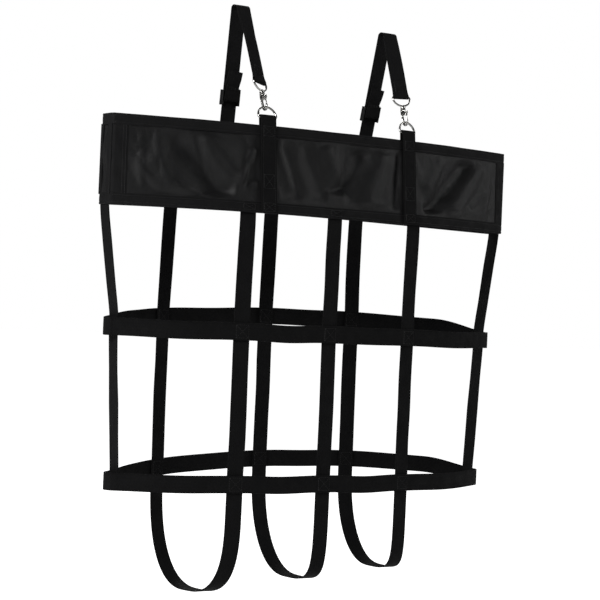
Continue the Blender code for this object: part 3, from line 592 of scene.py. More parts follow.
BACK_FOLDS = (
    ((-0.290, 0.86), (-0.215, 0.14), 0.018, -0.0050),
    ((-0.170, 0.88), (-0.225, 0.16), 0.015, 0.0042),
    ((-0.100, 0.86), (-0.046, 0.12), 0.017, -0.0054),
    ((-0.040, 0.84), (0.000, 0.20), 0.014, 0.0036),
    ((0.095, 0.88), (0.032, 0.12), 0.015, -0.0052),
    ((0.176, 0.86), (0.226, 0.12), 0.016, 0.0044),
    ((0.290, 0.88), (0.240, 0.12), 0.014, -0.0050),
)


def panel_relief(x, height, folds, held, hems):
    """How far a panel's folds stand out, and how free it is: 0 where it is sewn down, 1 in the open."""
    upper = COLLAR_HEIGHT - HEM
    free = smoothstep(height, HEM, HEM + 0.013) * (1 - smoothstep(height, upper - 0.013, upper))
    free = free * (1 - smoothstep(np.abs(x), HALF_WIDTH - END_TAPE - 0.020, HALF_WIDTH - END_TAPE - 0.002))
    for place in held:
        free = free * smoothstep(np.abs(x - place), WEB / 2 + 0.0002, WEB / 2 + 0.008)
    for place in hems:
        near = 1 - smoothstep(np.abs(x - place), WEB / 2 + 0.001, WEB / 2 + 0.012)
        free = free * (1 - near * (1 - smoothstep(height, 0.031, 0.047)))
    relief = np.zeros_like(x)
    for item in folds:
        relief = relief + fold(x, height, *item)
    relief = relief + 0.0007 * np.sin(x * 71.0 + height * 40.0) * np.sin(height * 55.0 - x * 23.0 + 1.3)
    return relief * free, free


def settle(name, grid, free, frames=16):
    """Cloth simulation of a panel that is sewn down all round and a little too large for its place."""
    rows, columns = free.shape
    obj = make_object(name, grid.reshape(-1, 3), grid_faces(rows, columns), FABRIC)
    group = obj.vertex_groups.new(name="sewn")
    for index in np.nonzero(free.ravel() < 0.05)[0]:
        group.add([int(index)], 1.0, "REPLACE")
    cloth = obj.modifiers.new("cloth", "CLOTH")
    cloth.settings.vertex_group_mass = "sewn"
    cloth.settings.quality = 6
    cloth.settings.mass = 0.15
    cloth.settings.tension_stiffness = 25
    cloth.settings.compression_stiffness = 25
    cloth.settings.shear_stiffness = 8
    cloth.settings.bending_stiffness = 0.6
    cloth.settings.shrink_min = -0.014
    cloth.settings.effector_weights.gravity = 0.4
    cloth.point_cache.frame_start = 1
    cloth.point_cache.frame_end = frames
    scene = bpy.context.scene
    for number in range(1, frames + 1):
        scene.frame_set(number)
    settled = obj.evaluated_get(bpy.context.evaluated_depsgraph_get())
    found = np.zeros(rows * columns * 3)
    settled.data.vertices.foreach_get("co", found)
    bpy.data.objects.remove(obj, do_unlink=True)
    scene.frame_set(1)
    return found.reshape(rows, columns, 3)


def panel_shape(name, side, folds):
    """Middle surface of a panel as a grid of points, with its stations along x and its heights."""
    xs = np.linspace(-PANEL_END, PANEL_END, 201)
    xs = np.sort(np.concatenate([xs, list(STRAP_X.values())]))
    heights = np.linspace(0.0145, COLLAR_HEIGHT - 0.0145, 32)
    wide, tall = np.meshgrid(xs, heights)
    relief, free = panel_relief(wide, tall, folds, STRAP_X.values(), HEM_X[side].values())
    grid = np.zeros((len(heights), len(xs), 3))
    normals = np.zeros_like(grid)
    for r, height in enumerate(heights):
        for c, x in enumerate(xs):
            point, normal = collar_point(x, height, side, relief[r, c])
            grid[r, c] = point
            normals[r, c] = normal
    moved = settle(name, grid, free) - grid
    size = np.linalg.norm(moved, axis=2, keepdims=True)
    limit = 0.0010 * free[..., None]
    grid = grid + moved * np.minimum(1.0, limit / np.maximum(size, 1e-9))
    return grid, xs, heights


def grid_faces(rows, columns):
    return [
        (a, a + 1, a + columns + 1, a + columns)
        for r in range(rows - 1) for a in range(r * columns, (r + 1) * columns - 1)
    ]


def sheet(name, verts, rows, columns, uv):
    """A closed sheet of fabric between two equal grids of points, the outer grid first."""
    count = rows * columns
    faces = []
    for quad in grid_faces(rows, columns):
        faces.append(quad)
        faces.append(tuple(reversed([v + count for v in quad])))
    rim = list(range(columns)) + [r * columns + columns - 1 for r in range(1, rows)]
    rim += [(rows - 1) * columns + c for c in reversed(range(columns - 1))]
    rim += [r * columns for r in reversed(range(1, rows - 1))]
    for a, b in zip(rim, rim[1:] + rim[:1]):
        faces.append((b, a, a + count, b + count))
    obj = make_object(name, verts, faces, FABRIC, uv)
    outward(obj)
    return obj


def panel_piece(name, grid, xs, heights, low, high, side):
    """The part of a panel between two stations, as a closed sheet 1.2 mm thick."""
    keep = [c for c, x in enumerate(xs) if low - 1e-6 <= x <= high + 1e-6]
    part = grid[:, keep]
    rows, columns = part.shape[:2]
    du = np.gradient(part, axis=1)
    dv = np.gradient(part, axis=0)
    normal = np.cross(du, dv) * -side
    normal = normal / np.linalg.norm(normal, axis=2, keepdims=True)
    outer = part + normal * SHEET_HALF
    inner = part - normal * SHEET_HALF
    verts = np.concatenate([outer.reshape(-1, 3), inner.reshape(-1, 3)])
    uv = [(xs[c], height) for height in heights for c in keep]
    obj = sheet(name, verts, rows, columns, uv + uv)
    subdivide(obj)
    return obj


def subdivide(obj, levels=1):
    """Apply a subdivision surface that keeps the piece's corners."""
    modifier = obj.modifiers.new("subdivision", "SUBSURF")
    modifier.levels = levels
    modifier.render_levels = levels
    modifier.boundary_smooth = "PRESERVE_CORNERS"
    bake_modifiers(obj)


def edge_wave(x, side):
    """Slight waviness of the collar's hems, outwards."""
    return 0.0005 * math.sin(x * 46.0 + 1.1 * side) + 0.0003 * math.sin(x * 97.0 - 0.7)


def root_lift(x, side, height):
    """The hanging straps pull the back panel's top edge up a little round their sewn roots."""
    if side < 0:
        return 0.0
    pull = {"left": 0.0050, "right": 0.0150}
    lift = sum(pull[name] * math.exp(-(((x - place) / 0.028) ** 2)) for name, place in STRAP_X.items())
    return lift * (max(0.0, height) / COLLAR_HEIGHT) ** 4


def hem_outline(edge, into):
    """Section of a folded binding as (outward, height) pairs: a solid roll with two sewn grooves a face."""
    face = []
    for share in (1.0, 0.985, 0.92, 0.86, 0.81, 0.76, 0.66, 0.50, 0.34, 0.28, 0.23, 0.18, 0.12):
        groove = sum(math.exp(-(((share - row) / 0.045) ** 2)) for row in (0.81, 0.23))
        out = 0.00148 - 0.00045 * groove - (0.0005 if share == 1.0 else 0.0)
        face.append((out, edge + into * HEM * share))
    turn = [
        (0.00148 * math.cos(t), edge + into * (0.0011 - 0.0011 * math.sin(t)))
        for t in np.linspace(0.25, math.pi - 0.25, 7)
    ]
    return face + turn + [(-out, height) for out, height in reversed(face)]


def hem_piece(name, side, edge, into, low, high, ends):
    """A binding between two stations. ends says at which ends it turns the corner on to the gusset."""
    outline = hem_outline(edge, into)
    places = list(np.linspace(low, high, max(8, round((high - low) / 0.0038))))
    sections, uvs = [], []
    turned = np.linspace(side * 0.0105, side * 0.0002, 4)
    plan = []
    if ends[0]:
        plan += [("gusset", -1, float(y)) for y in reversed(turned)]
    plan += [("panel", side, float(x)) for x in places]
    if ends[1]:
        plan += [("gusset", 1, float(y)) for y in turned]
    run = 0.0
    before = None
    for kind, which, value in plan:
        section = []
        for out, height in outline:
            pucker = 0.00010 * math.sin(run * 2 * math.pi / 0.0066) * (1 if out > 0 else -1)
            if kind == "panel":
                shift = edge_wave(value, side)
                point, _ = collar_point(value, height, side, out + pucker + shift)
                point.z += root_lift(value, side, height)
            else:
                point, _ = gusset_point(value, height, which, out + pucker)
            section.append(point)
        if before is not None:
            run += (section[3] - before).length
        before = section[3]
        sections.append(section)
        uvs += [(height - edge, run) for _, height in outline]
    return sweep(name, sections, False, TAPE, uvs)


def hem_thread(thread, side, edge, into, low, high):
    """Two rows of stitches on each face of a binding."""
    for share in (0.81, 0.23):
        height = edge + into * HEM * share
        for face in (1, -1):
            points, normals = [], []
            for x in np.linspace(low, high, max(6, round((high - low) / 0.006))):
                out = 0.00108 * face + edge_wave(x, side)
                point, normal = collar_point(x, height, side, out)
                point.z += root_lift(x, side, height)
                points.append(point)
                normals.append(normal * face)
            thread.line(points, normals)


def end_tape(name, side, end, thread):
    """Upright tape over the corner between a panel and the gusset, between the bindings."""
    sections, uvs = [], []
    plan = [("panel", end * x) for x in np.linspace(HALF_WIDTH - END_TAPE, PANEL_END - 0.001, 9)]
    plan += [("gusset", side * y) for y in (0.0125, 0.0105, 0.0085, 0.0065)]
    heights = np.linspace(0.0148, COLLAR_HEIGHT - 0.0148, 24)
    outs = (0.0007, 0.0015)
    for height in heights:
        row = []
        for out in outs:
            line = []
            for number, (kind, value) in enumerate(plan):
                thin = 0.0003 if out > 0.001 and number in (0, len(plan) - 1) else 0.0
                ripple = 0.00025 * math.sin(height * 130 + value * 300)
                if kind == "panel":
                    point, _ = collar_point(value, height, side, out - thin + ripple)
                else:
                    point, _ = gusset_point(value, height, end, out - thin + ripple)
                line.append(point)
            row.append(line)
        sections.append(row[0] + list(reversed(row[1])))
        across = [0.0]
        for a, b in zip(row[0], row[0][1:]):
            across.append(across[-1] + (b - a).length)
        uvs += [(height, a) for a in across + list(reversed(across))]
    obj = sweep(name, sections, False, TAPE, uvs)
    for place in (HALF_WIDTH - END_TAPE + 0.0025, HALF_WIDTH - END_TAPE + 0.0065):
        pairs = [collar_point(end * place, height, side, 0.0015) for height in heights]
        thread.line([point for point, _ in pairs], [normal for _, normal in pairs])
    return obj


def gusset_piece(name, side):
    """The narrow end of the collar: a sheet that bulges a little and is gathered along its middle."""
    ys = np.linspace(-0.0158, 0.0158, 15)
    heights = np.linspace(0.0145, COLLAR_HEIGHT - 0.0145, 34)
    verts, uv = [], []
    for out in (SHEET_HALF, -SHEET_HALF):
        for height in heights:
            for y in ys:
                swell = 0.0010 * math.sin(height * 95 + 1.0) * math.cos(y / 0.0158 * math.pi / 2)
                crease = -0.0014 * math.exp(-(((y + 0.0016 * math.sin(height * 60)) / 0.0034) ** 2))
                point, _ = gusset_point(float(y), float(height), side, out + swell + crease)
                verts.append(point)
                uv.append((y, height))
    return sheet(name, verts, len(heights), len(ys), uv)


# ---------------------------------------------------------------- net

def ring_end(base):
    """How a ring's end is rounded: the lean of the band there, and where its straight run stops."""
    end_x = RING_END_X[base]
    lean = math.atan((RING_DEPTH - RING_END_RADIUS) * RING_CURVE / end_x)
    return lean, end_x + RING_END_RADIUS * math.sin(lean), RING_END_RADIUS * math.cos(lean)


def ring_depth(x, base):
    _, reach, end_depth = ring_end(base)
    return end_depth + (RING_DEPTH - end_depth) * (1 - abs(x / reach) ** RING_CURVE)


def ring_height(x, y, base):
    """The back half of a ring hangs higher than its front half, and least so at its left end."""
    share = min(1.0, max(0.0, y / RISE_DEPTH))
    rise = max(0.0, 1 - ((x - RISE_X) / RISE_SPAN[base]) ** 2)
    return base + RING_RISE * rise * share * share * (3 - 2 * share)


def ring_frame(x, side, base):
    """Point in plan, direction along the ring and outward normal where a sling crosses it."""
    left = Vector((x - FACET_HALF, side * ring_depth(x - FACET_HALF, base), 0))
    right = Vector((x + FACET_HALF, side * ring_depth(x + FACET_HALF, base), 0))
    across = (right - left).normalized()
    return (left + right) / 2, across, Z_AXIS.cross(across) * side


def ring_rows(base, seed):
    """A ring's path: front half, rounded end, back half, rounded end. It sags a little between the slings."""
    chance = random.Random(seed)
    lean, reach, _ = ring_end(base)
    cap = math.pi / 2 - lean
    rows = []
    for side in (-1, 1):
        marks = [-reach, *sorted(RING_X[side].values()), reach]
        half = []
        for low, high in zip(marks, marks[1:]):
            sag = chance.uniform(0.0004, 0.0018)
            bow = chance.uniform(-0.0006, 0.0010)
            tip = math.radians(chance.uniform(-2.0, 2.0))
            count = max(4, round((high - low) / 0.010))
            for k in range(count):
                x = low + (high - low) * k / count
                t = min(1.0, max(0.0, (x - low - 0.012) / (high - low - 0.024)))
                swell = math.sin(math.pi * t) ** 2
                point = Vector((x, side * (ring_depth(x, base) + bow * swell), 0))
                point.z = ring_height(x, point.y, base) - sag * swell
                _, along, _ = ring_frame(min(max(x, marks[0] + 0.02), marks[-1] - 0.02), side, base)
                half.append((point, Matrix.Rotation(tip * swell, 3, along) @ Z_AXIS))
        y = side * ring_depth(reach, base)
        half.append((Vector((reach, y, ring_height(reach, y, base))), Z_AXIS))
        if side > 0:
            half.reverse()
        rows += half
        centre = -side * RING_END_X[base]
        start = -cap if side < 0 else math.pi - cap
        for k in range(1, 8):
            turn = start + 2 * cap * k / 8
            x, y = centre + RING_END_RADIUS * math.cos(turn), RING_END_RADIUS * math.sin(turn)
            rows.append((Vector((x, y, ring_height(x, y, base))), Z_AXIS))
    return rows


def leg_rows(name, side):
    """One leg of a sling, from its sewn top to below the bottom ring, running inside the rings."""
    x, hem_x = RING_X[side][name], HEM_X[side][name]
    _, slope = collar_point(hem_x, 0.0, side)
    across = slope.cross(Z_AXIS).normalized() * side
    under_collar = SHEET_HALF + TAPE_THICK + 2 * GAP + WEB_THICK / 2
    top, _ = collar_point(hem_x, 0.030, side, -under_collar)
    hem, _ = collar_point(hem_x, -0.002, side, -under_collar)
    rows = [(top, across), (hem, across)]
    flat = WEB / 2 + 0.002
    for base in (MIDDLE_RING_Z, BOTTOM_RING_Z):
        ring_mid, ring_across, ring_out = ring_frame(x, side, base)
        inside = ring_mid - ring_out * (WEB_THICK + 2 * GAP)
        level = ring_height(ring_mid.x, ring_mid.y, base)
        for shift in (flat, 0.0, -flat):
            rows.append((inside + Z_AXIS * (level + shift), ring_across))
    return rows


def loop_rows(front, back, drop, swing):
    """The rounded bottom of a sling between the ends of its two legs."""
    (start, start_across), (end, end_across) = front, back
    middle = (start.y + end.y) / 2
    half = (end.y - start.y) / 2
    steps = 26
    rows = []
    for i in range(1, steps):
        turn = math.pi * i / steps
        share = (1 - math.cos(turn)) / 2
        way = -1 if math.cos(turn) > 0 else 1
        power = 2 / LOOP_ROUNDNESS[way]
        reach = way * abs(math.cos(turn)) ** power
        dip = math.sin(turn) ** power
        edge = start.z + (end.z - start.z) * share
        y = middle + half * reach - swing * math.sin(turn) ** 2
        z = edge + (COLLAR_BOTTOM - drop - edge) * dip
        x = start.x + (end.x - start.x) * share
        rows.append((Vector((x, y, z)), start_across.lerp(end_across, share)))
    return rows


def sling_piece(name, seed):
    normal_of = lambda across: across.cross(Z_AXIS).normalized()
    front = wander(leg_rows(name, -1), seed, normal_of)
    back = wander(leg_rows(name, 1), seed + 50, normal_of)
    loop = loop_rows(front[-1], back[-1], LOOP_DROP[name], LOOP_SWING[name])
    return band(f"sling_band_{name}", front + loop + list(reversed(back)), WEBBING)


def crossing_thread(thread):
    """Box and cross stitching where the slings cross the rings, on both faces."""
    for side in (-1, 1):
        for x in RING_X[side].values():
            for base in (MIDDLE_RING_Z, BOTTOM_RING_Z):
                middle, across, out = ring_frame(x, side, base)
                level = Vector((middle.x, middle.y, ring_height(middle.x, middle.y, base)))
                face = level + out * (WEB_THICK / 2)
                thread.box(face, across, Z_AXIS, out, 0.0095, 0.0092)
                inner = level - out * (WEB_THICK * 1.5 + 2 * GAP)
                thread.box(inner, across, Z_AXIS, -out, 0.0095, 0.0092)


def side_strap(name, side):
    top_x = side * (HALF_WIDTH - 0.0012 - GAP - WEB_THICK / 2)
    middle_x, bottom_x = side * RING_END_X[MIDDLE_RING_Z], side * RING_END_X[BOTTOM_RING_Z]
    rows = [
        (Vector((top_x, 0, COLLAR_BOTTOM + 0.030)), Y_AXIS),
        (Vector((top_x, 0, COLLAR_BOTTOM - 0.002)), Y_AXIS),
        (Vector((middle_x, 0, MIDDLE_RING_Z + WEB / 2)), Y_AXIS),
        (Vector((middle_x, 0, MIDDLE_RING_Z - WEB / 2)), Y_AXIS),
        (Vector((bottom_x, 0, BOTTOM_RING_Z + WEB / 2)), Y_AXIS),
        (Vector((bottom_x, 0, BOTTOM_RING_Z - WEB / 2 + 0.001)), Y_AXIS),
    ]
    rows = wander(rows, 31 + side, lambda across: across.cross(Z_AXIS).normalized(), sway=0.0004, bow=0.0008)
    return band(name, rows, WEBBING, width=WEB - 2 * GAP)


# ---------------------------------------------------------------- hanging straps

def flat_facet(x, side):
    """Bottom and top points, width direction and outward normal of the collar's facet under a sewn strip."""
    near = [place for place in HEM_X[side].values() if abs(place - x) < 2 * FACET_HALF] + [x]
    left, right = min(near) - FACET_HALF, max(near) + FACET_HALF
    share = (x - left) / (right - left)
    low, high = (
        collar_point(left, height, side)[0].lerp(collar_point(right, height, side)[0], share)
        for height in (0.0, COLLAR_HEIGHT)
    )
    across = collar_point(right, COLLAR_HEIGHT / 2, side)[0] - collar_point(left, COLLAR_HEIGHT / 2, side)[0]
    across.normalize()
    return low, high, across, (high - low).cross(across).normalized() * side


APEX = {side: (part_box(f"strap_rear_{side}")[1].z - STRAP_THICK / 2) for side in STRAP_X}


def strap_frame(side):
    """The hanging strap's places: root, apex, and the snap hook's origin and directions."""
    x = STRAP_X[side]
    low, high, across, out = flat_facet(x, 1)
    up = (high - low).normalized()
    root = high - out * (SHEET_HALF + TAPE_THICK + 2 * GAP + STRAP_THICK / 2) + up * 0.0015
    apex_back = Vector((x, APEX_Y[side] + APEX_HALF, APEX[side]))
    apex_front = Vector((x, APEX_Y[side] - APEX_HALF, APEX[side]))
    along = (apex_back - root).normalized()
    inward = along.cross(X_AXIS).normalized()
    if inward.y > 0:
        inward = -inward
    tab_low, tab_high, tab_across, tab_out = flat_facet(x, -1)
    bar = tab_high + (tab_high - tab_low).normalized() * D_BAR_RISE
    axis = Vector((0, apex_front.y - bar.y, apex_front.z - bar.z)).normalized()
    return {
        "root": root, "up": up, "across": across, "apex_back": apex_back, "apex_front": apex_front,
        "along": along, "inward": inward, "bar": bar, "axis": axis, "b": axis.cross(X_AXIS).normalized(),
        "origin": bar + axis * (D_HEIGHT - 0.0042), "tab": (tab_low, tab_high, tab_across, tab_out),
    }


FRAMES = {side: strap_frame(side) for side in STRAP_X}
EYE_TWIST = {"left": math.radians(20), "right": math.radians(-8)}
EYE_BAR_S = 0.0460
SLIDER_S = 0.046


def strap_lower(side):
    """The sewn root and the rear leg up to the slider."""
    f = FRAMES[side]
    rows = [
        (f["root"] - f["up"] * 0.030, f["across"]),
        (f["root"] - f["up"] * 0.004, f["across"]),
        (f["root"] + f["along"] * 0.010, X_AXIS),
        (f["root"] + f["along"] * 0.026, X_AXIS),
        (f["root"] + f["along"] * SLIDER_S, X_AXIS),
    ]
    return band(f"strap_lower_{side}", rows, STRAP_WEBBING, thick=STRAP_THICK, step=0.004)


def front_point(side, b, s):
    """A point and width direction on the front leg, which twists towards the swivel eye's bar."""
    f = FRAMES[side]
    top = (f["apex_front"] - f["origin"]).dot(f["axis"])
    share = min(1.0, max(0.0, (top - s) / (top - EYE_BAR_S)))
    turn = Matrix.Rotation(EYE_TWIST[side] * min(1.0, 0.15 + 2.4 * share), 3, f["axis"])
    bow = 0.0011 * math.sin(math.pi * share)
    return f["origin"] + f["axis"] * s + turn @ f["b"] * (b - bow), turn @ X_AXIS


def strap_upper(side):
    """From the slider over the rail, down to the eye, round its bar and back up as a second layer."""
    f = FRAMES[side]
    length = (f["apex_back"] - f["root"]).length
    top = (f["apex_front"] - f["origin"]).dot(f["axis"])
    thin = (STRAP_THICK + GAP) / 2
    loop = EYE_WIRE + GAP + STRAP_THICK / 2
    rows = []
    for s in (SLIDER_S, 0.070, 0.100, 0.130, 0.155, length - 0.006, length - 0.0022):
        rows.append((f["root"] + f["along"] * s, X_AXIS))
    rows.append((f["apex_back"] + Vector((0, -0.0026, 0.0001)), X_AXIS))
    rows.append((f["apex_front"] + Vector((0, 0.0024, 0.0001)), X_AXIS))
    for s in (top - 0.0030, top - 0.0080, 0.125, 0.101, 0.081, 0.066, 0.055):
        rows.append(front_point(side, -thin, s))
    for k in range(9):
        turn = -math.pi + math.pi * k / 8
        rows.append(front_point(side, loop * math.cos(turn), EYE_BAR_S + loop * math.sin(turn)))
    for s in (0.055, 0.066, 0.081, 0.101, 0.125, top - 0.0110):
        rows.append(front_point(side, thin, s))
    return band(f"strap_upper_{side}", rows, STRAP_WEBBING, thick=STRAP_THICK, step=0.004)


def strap_return(side):
    """The strap's end, sewn round the slider's centre bar, with its free layer a little off the middle."""
    f = FRAMES[side]
    near = STRAP_THICK + GAP
    radius = (STRAP_THICK + 2 * GAP + 0.002) / 2
    turn_s = SLIDER_S - 0.0022 - GAP
    free_layer = ((0.040, 0.0050), (0.029, 0.0036), (0.018, 0.0010), (0.004, 0.0))
    outline = [(near, SLIDER_S + s, shift) for s, shift in free_layer]
    for k in range(9):
        turn = -math.pi + math.pi * k / 8
        outline.append((near + radius + radius * math.cos(turn), turn_s + radius * math.sin(turn), 0.0))
    outline.append((near + 2 * radius, SLIDER_S + 0.006, 0.0002))
    outline.append((near + 2 * radius - 0.0006, SLIDER_S + 0.016, 0.0026))
    rows = []
    for b, s, shift in outline:
        rows.append((f["root"] + f["inward"] * b + f["along"] * s + X_AXIS * shift, X_AXIS))
    return band(f"strap_end_{side}", rows, STRAP_WEBBING, thick=STRAP_THICK, step=0.004)


def tab_piece(side):
    """The tab runs up the front panel, round the D-ring's bar and down inside."""
    low, high, across, out = FRAMES[side]["tab"]
    up = (high - low).normalized()
    length = (high - low).length
    radius = 0.0029
    outline = [(radius, 0.0)]
    shares = (0.15, 0.32, 0.5, 0.66, 0.82, 0.97)
    outline += [(radius + 0.0001 * (k % 2), length * share) for k, share in enumerate(shares)]
    for k in range(11):
        turn = math.pi * k / 10
        outline.append((radius * math.cos(turn), length + D_BAR_RISE + radius * math.sin(turn)))
    outline += [(-radius, length - 0.006), (-radius, length - 0.040)]
    rows = [(low + out * o + up * h, across) for o, h in outline]
    return band(f"front_tab_{side}", rows, WEBBING, step=0.004)


def tab_thread(thread, side):
    low, high, across, out = FRAMES[side]["tab"]
    up = (high - low).normalized()
    length = (high - low).length
    face = out * (0.0029 + WEB_THICK / 2)
    for a in (-0.0098, 0.0098):
        line = [low + across * a + up * h + face for h in (0.002, length - 0.002)]
        thread.line(line, [out, out])
    for share, half in ((0.36, 0.0100), (0.93, 0.0070), (0.07, 0.0060)):
        thread.box(low + up * (length * share) + face, across, up, out, 0.0084, half)


def strap_thread(thread, side):
    """Box stitching that closes the loop round the swivel eye."""
    f = FRAMES[side]
    thin = (STRAP_THICK + GAP) / 2 + STRAP_THICK / 2
    for b, face in ((-thin, -1), (thin, 1)):
        centre, across = front_point(side, b, EYE_BAR_S + 0.0165)
        normal = across.cross(f["axis"]).normalized()
        if normal.dot(f["b"]) * face < 0:
            normal = -normal
        thread.box(centre, across, f["axis"], normal, 0.0088, 0.0085)


def return_thread(thread, side):
    f = FRAMES[side]
    inner = STRAP_THICK * 2 + GAP * 2 + 0.0020 + STRAP_THICK + GAP
    centre = f["root"] + f["along"] * (SLIDER_S + 0.0137) + f["inward"] * (inner - 0.0003) + X_AXIS * 0.0018
    for shift in (-0.0012, 0.0009):
        at = centre + f["along"] * shift
        thread.line([at - X_AXIS * 0.0095, at + X_AXIS * 0.0095], [f["inward"], f["inward"]])


# ---------------------------------------------------------------- metal and plastic

def wire_mesh(points, normal, radii, sides=16, closed=False):
    """Vertices and faces of a round wire along a flat path. radii: one size, or a pair for each point."""
    verts = []
    for i, (point, along) in enumerate(zip(points, tangents(points, closed))):
        a, b = radii[i] if isinstance(radii, list) else (radii, radii)
        inward = along.cross(normal).normalized()
        for k in range(sides):
            turn = 2 * math.pi * k / sides
            verts.append(point + inward * (a * math.cos(turn)) + normal * (b * math.sin(turn)))
    return verts, skin_faces(len(points), sides, closed)


def lathe_mesh(profile, origin, axis, sides=28):
    """A closed profile of (radius, height) pairs turned round an axis."""
    across = axis.cross(X_AXIS if abs(axis.x) < 0.9 else Y_AXIS).normalized()
    other = axis.cross(across)
    verts = []
    for radius, height in profile:
        for k in range(sides):
            turn = 2 * math.pi * k / sides
            verts.append(origin + axis * height + (across * math.cos(turn) + other * math.sin(turn)) * radius)
    return verts, skin_faces(len(profile), sides, True)


def box_mesh(origin, frame_axes, low, high):
    verts = []
    for x in (low[0], high[0]):
        for y in (low[1], high[1]):
            for z in (low[2], high[2]):
                verts.append(origin + frame_axes[0] * x + frame_axes[1] * y + frame_axes[2] * z)
    faces = [(0, 1, 3, 2), (4, 6, 7, 5), (0, 4, 5, 1), (2, 3, 7, 6), (0, 2, 6, 4), (1, 5, 7, 3)]
    return verts, faces


def join_parts(name, parts, material):
    verts, faces = [], []
    for part_verts, part_faces in parts:
        base = len(verts)
        verts += part_verts
        faces += [tuple(index + base for index in face) for face in part_faces]
    obj = make_object(name, verts, faces, material)
    outward(obj)
    return obj


def cast(name, parts, material, voxel, passes=4):
    """Fuse parts into one casting with soft inner corners."""
    obj = join_parts(name, parts, material)
    fuse = obj.modifiers.new("fuse", "REMESH")
    fuse.mode = "VOXEL"
    fuse.voxel_size = voxel
    fuse.use_smooth_shade = True
    relax = obj.modifiers.new("relax", "SMOOTH")
    relax.factor = 0.5
    relax.iterations = passes
    bake_modifiers(obj)
    if not obj.data.materials:
        obj.data.materials.append(material)
    return obj


def d_outline(half_width, height, steps=44):
    """A D lying on its straight bar."""
    corner = 0.0022
    points = [(a, 0.0) for a in np.linspace(corner - half_width, half_width - corner, 12)]
    for k in range(1, 7):
        turn = -math.pi / 2 + math.pi / 2 * k / 6
        points.append((half_width - corner + corner * math.cos(turn), corner + corner * math.sin(turn)))
    for k in range(1, steps):
        turn = math.pi * k / steps
        points.append((half_width * math.cos(turn), corner + (height - corner) * math.sin(turn)))
    for k in range(6):
        turn = math.pi + math.pi / 2 * k / 6
        points.append((corner - half_width + corner * math.cos(turn), corner + corner * math.sin(turn)))
    return points


def d_ring(side):
    f = FRAMES[side]
    across = f["tab"][2]
    plane = across.cross(f["axis"]).normalized()
    up = plane.cross(across)
    points = [f["bar"] + across * a + up * z for a, z in d_outline(D_HALF, D_HEIGHT)]
    return join_parts(f"d_ring_wire_{side}", [wire_mesh(points, plane, D_WIRE, 16, True)], NICKEL)


def swivel_eye(side):
    f = FRAMES[side]
    turn = Matrix.Rotation(EYE_TWIST[side], 3, f["axis"])
    width = turn @ X_AXIS
    plane = turn @ f["b"]
    points = [f["origin"] + f["axis"] * (EYE_BAR_S - z) + width * a for a, z in d_outline(D_HALF, EYE_HEIGHT)]
    eye = wire_mesh(points, plane, EYE_WIRE, 14, True)
    profile = [(0.0001, 0.0233), (0.0020, 0.0233), (0.0021, 0.0240), (0.0020, 0.0248)]
    profile += [(0.0012, 0.0249), (0.0012, 0.0294), (0.0021, 0.0296), (0.0027, 0.0302)]
    profile += [(0.0028, 0.0310), (0.0024, 0.0319), (0.0016, 0.0324), (0.0001, 0.0325)]
    stem = lathe_mesh(profile, f["origin"], f["axis"])
    return join_parts(f"swivel_eye_wire_{side}", [eye, stem], NICKEL)


def snap_hook(side):
    """Cast hook: a spine that narrows into the bow, two ears for the gate and a collared barrel."""
    f = FRAMES[side]
    axes = (X_AXIS, f["b"], f["axis"])
    outline = [(0.0034, 0.0276), (0.0042, 0.0250), (0.0047, 0.0226), (0.0048, 0.0190)]
    outline += [(0.0048, 0.0150), (0.0047, 0.0110), (0.0047, 0.0078)]
    for k in range(21):
        turn = -math.pi * k / 20
        outline.append((0.0047 * math.cos(turn), 0.0047 + 0.0047 * math.sin(turn)))
    outline += [(-0.0047, 0.0058), (-0.0046, 0.0066)]
    points = [f["origin"] + f["b"] * b + f["axis"] * s for b, s in outline]
    radii = []
    for number in range(len(points)):
        share = number / (len(points) - 1)
        radii.append((0.00155 - 0.00025 * share, 0.0021 - 0.0006 * share))
    parts = [wire_mesh(points, X_AXIS, radii)]
    for sign in (-1, 1):
        plate = sorted((sign * 0.0017, sign * 0.0030))
        parts.append(box_mesh(f["origin"], axes, (plate[0], -0.0060, 0.0174), (plate[1], 0.0040, 0.0222)))
    parts.append(box_mesh(f["origin"], axes, (-0.0028, -0.0012, 0.0176), (0.0028, 0.0042, 0.0224)))
    parts.append(box_mesh(f["origin"], axes, (-0.0020, 0.0018, 0.0215), (0.0020, 0.0046, 0.0262)))
    ring = [(0.0017, 0.0250), (0.0034, 0.0250), (0.0040, 0.0255), (0.0036, 0.0262), (0.0036, 0.0280)]
    ring += [(0.0040, 0.0286), (0.0036, 0.0292), (0.0017, 0.0293)]
    parts.append(lathe_mesh(ring, f["origin"], f["axis"]))
    return cast(f"snap_hook_cast_{side}", parts, NICKEL, 0.00026, 3)


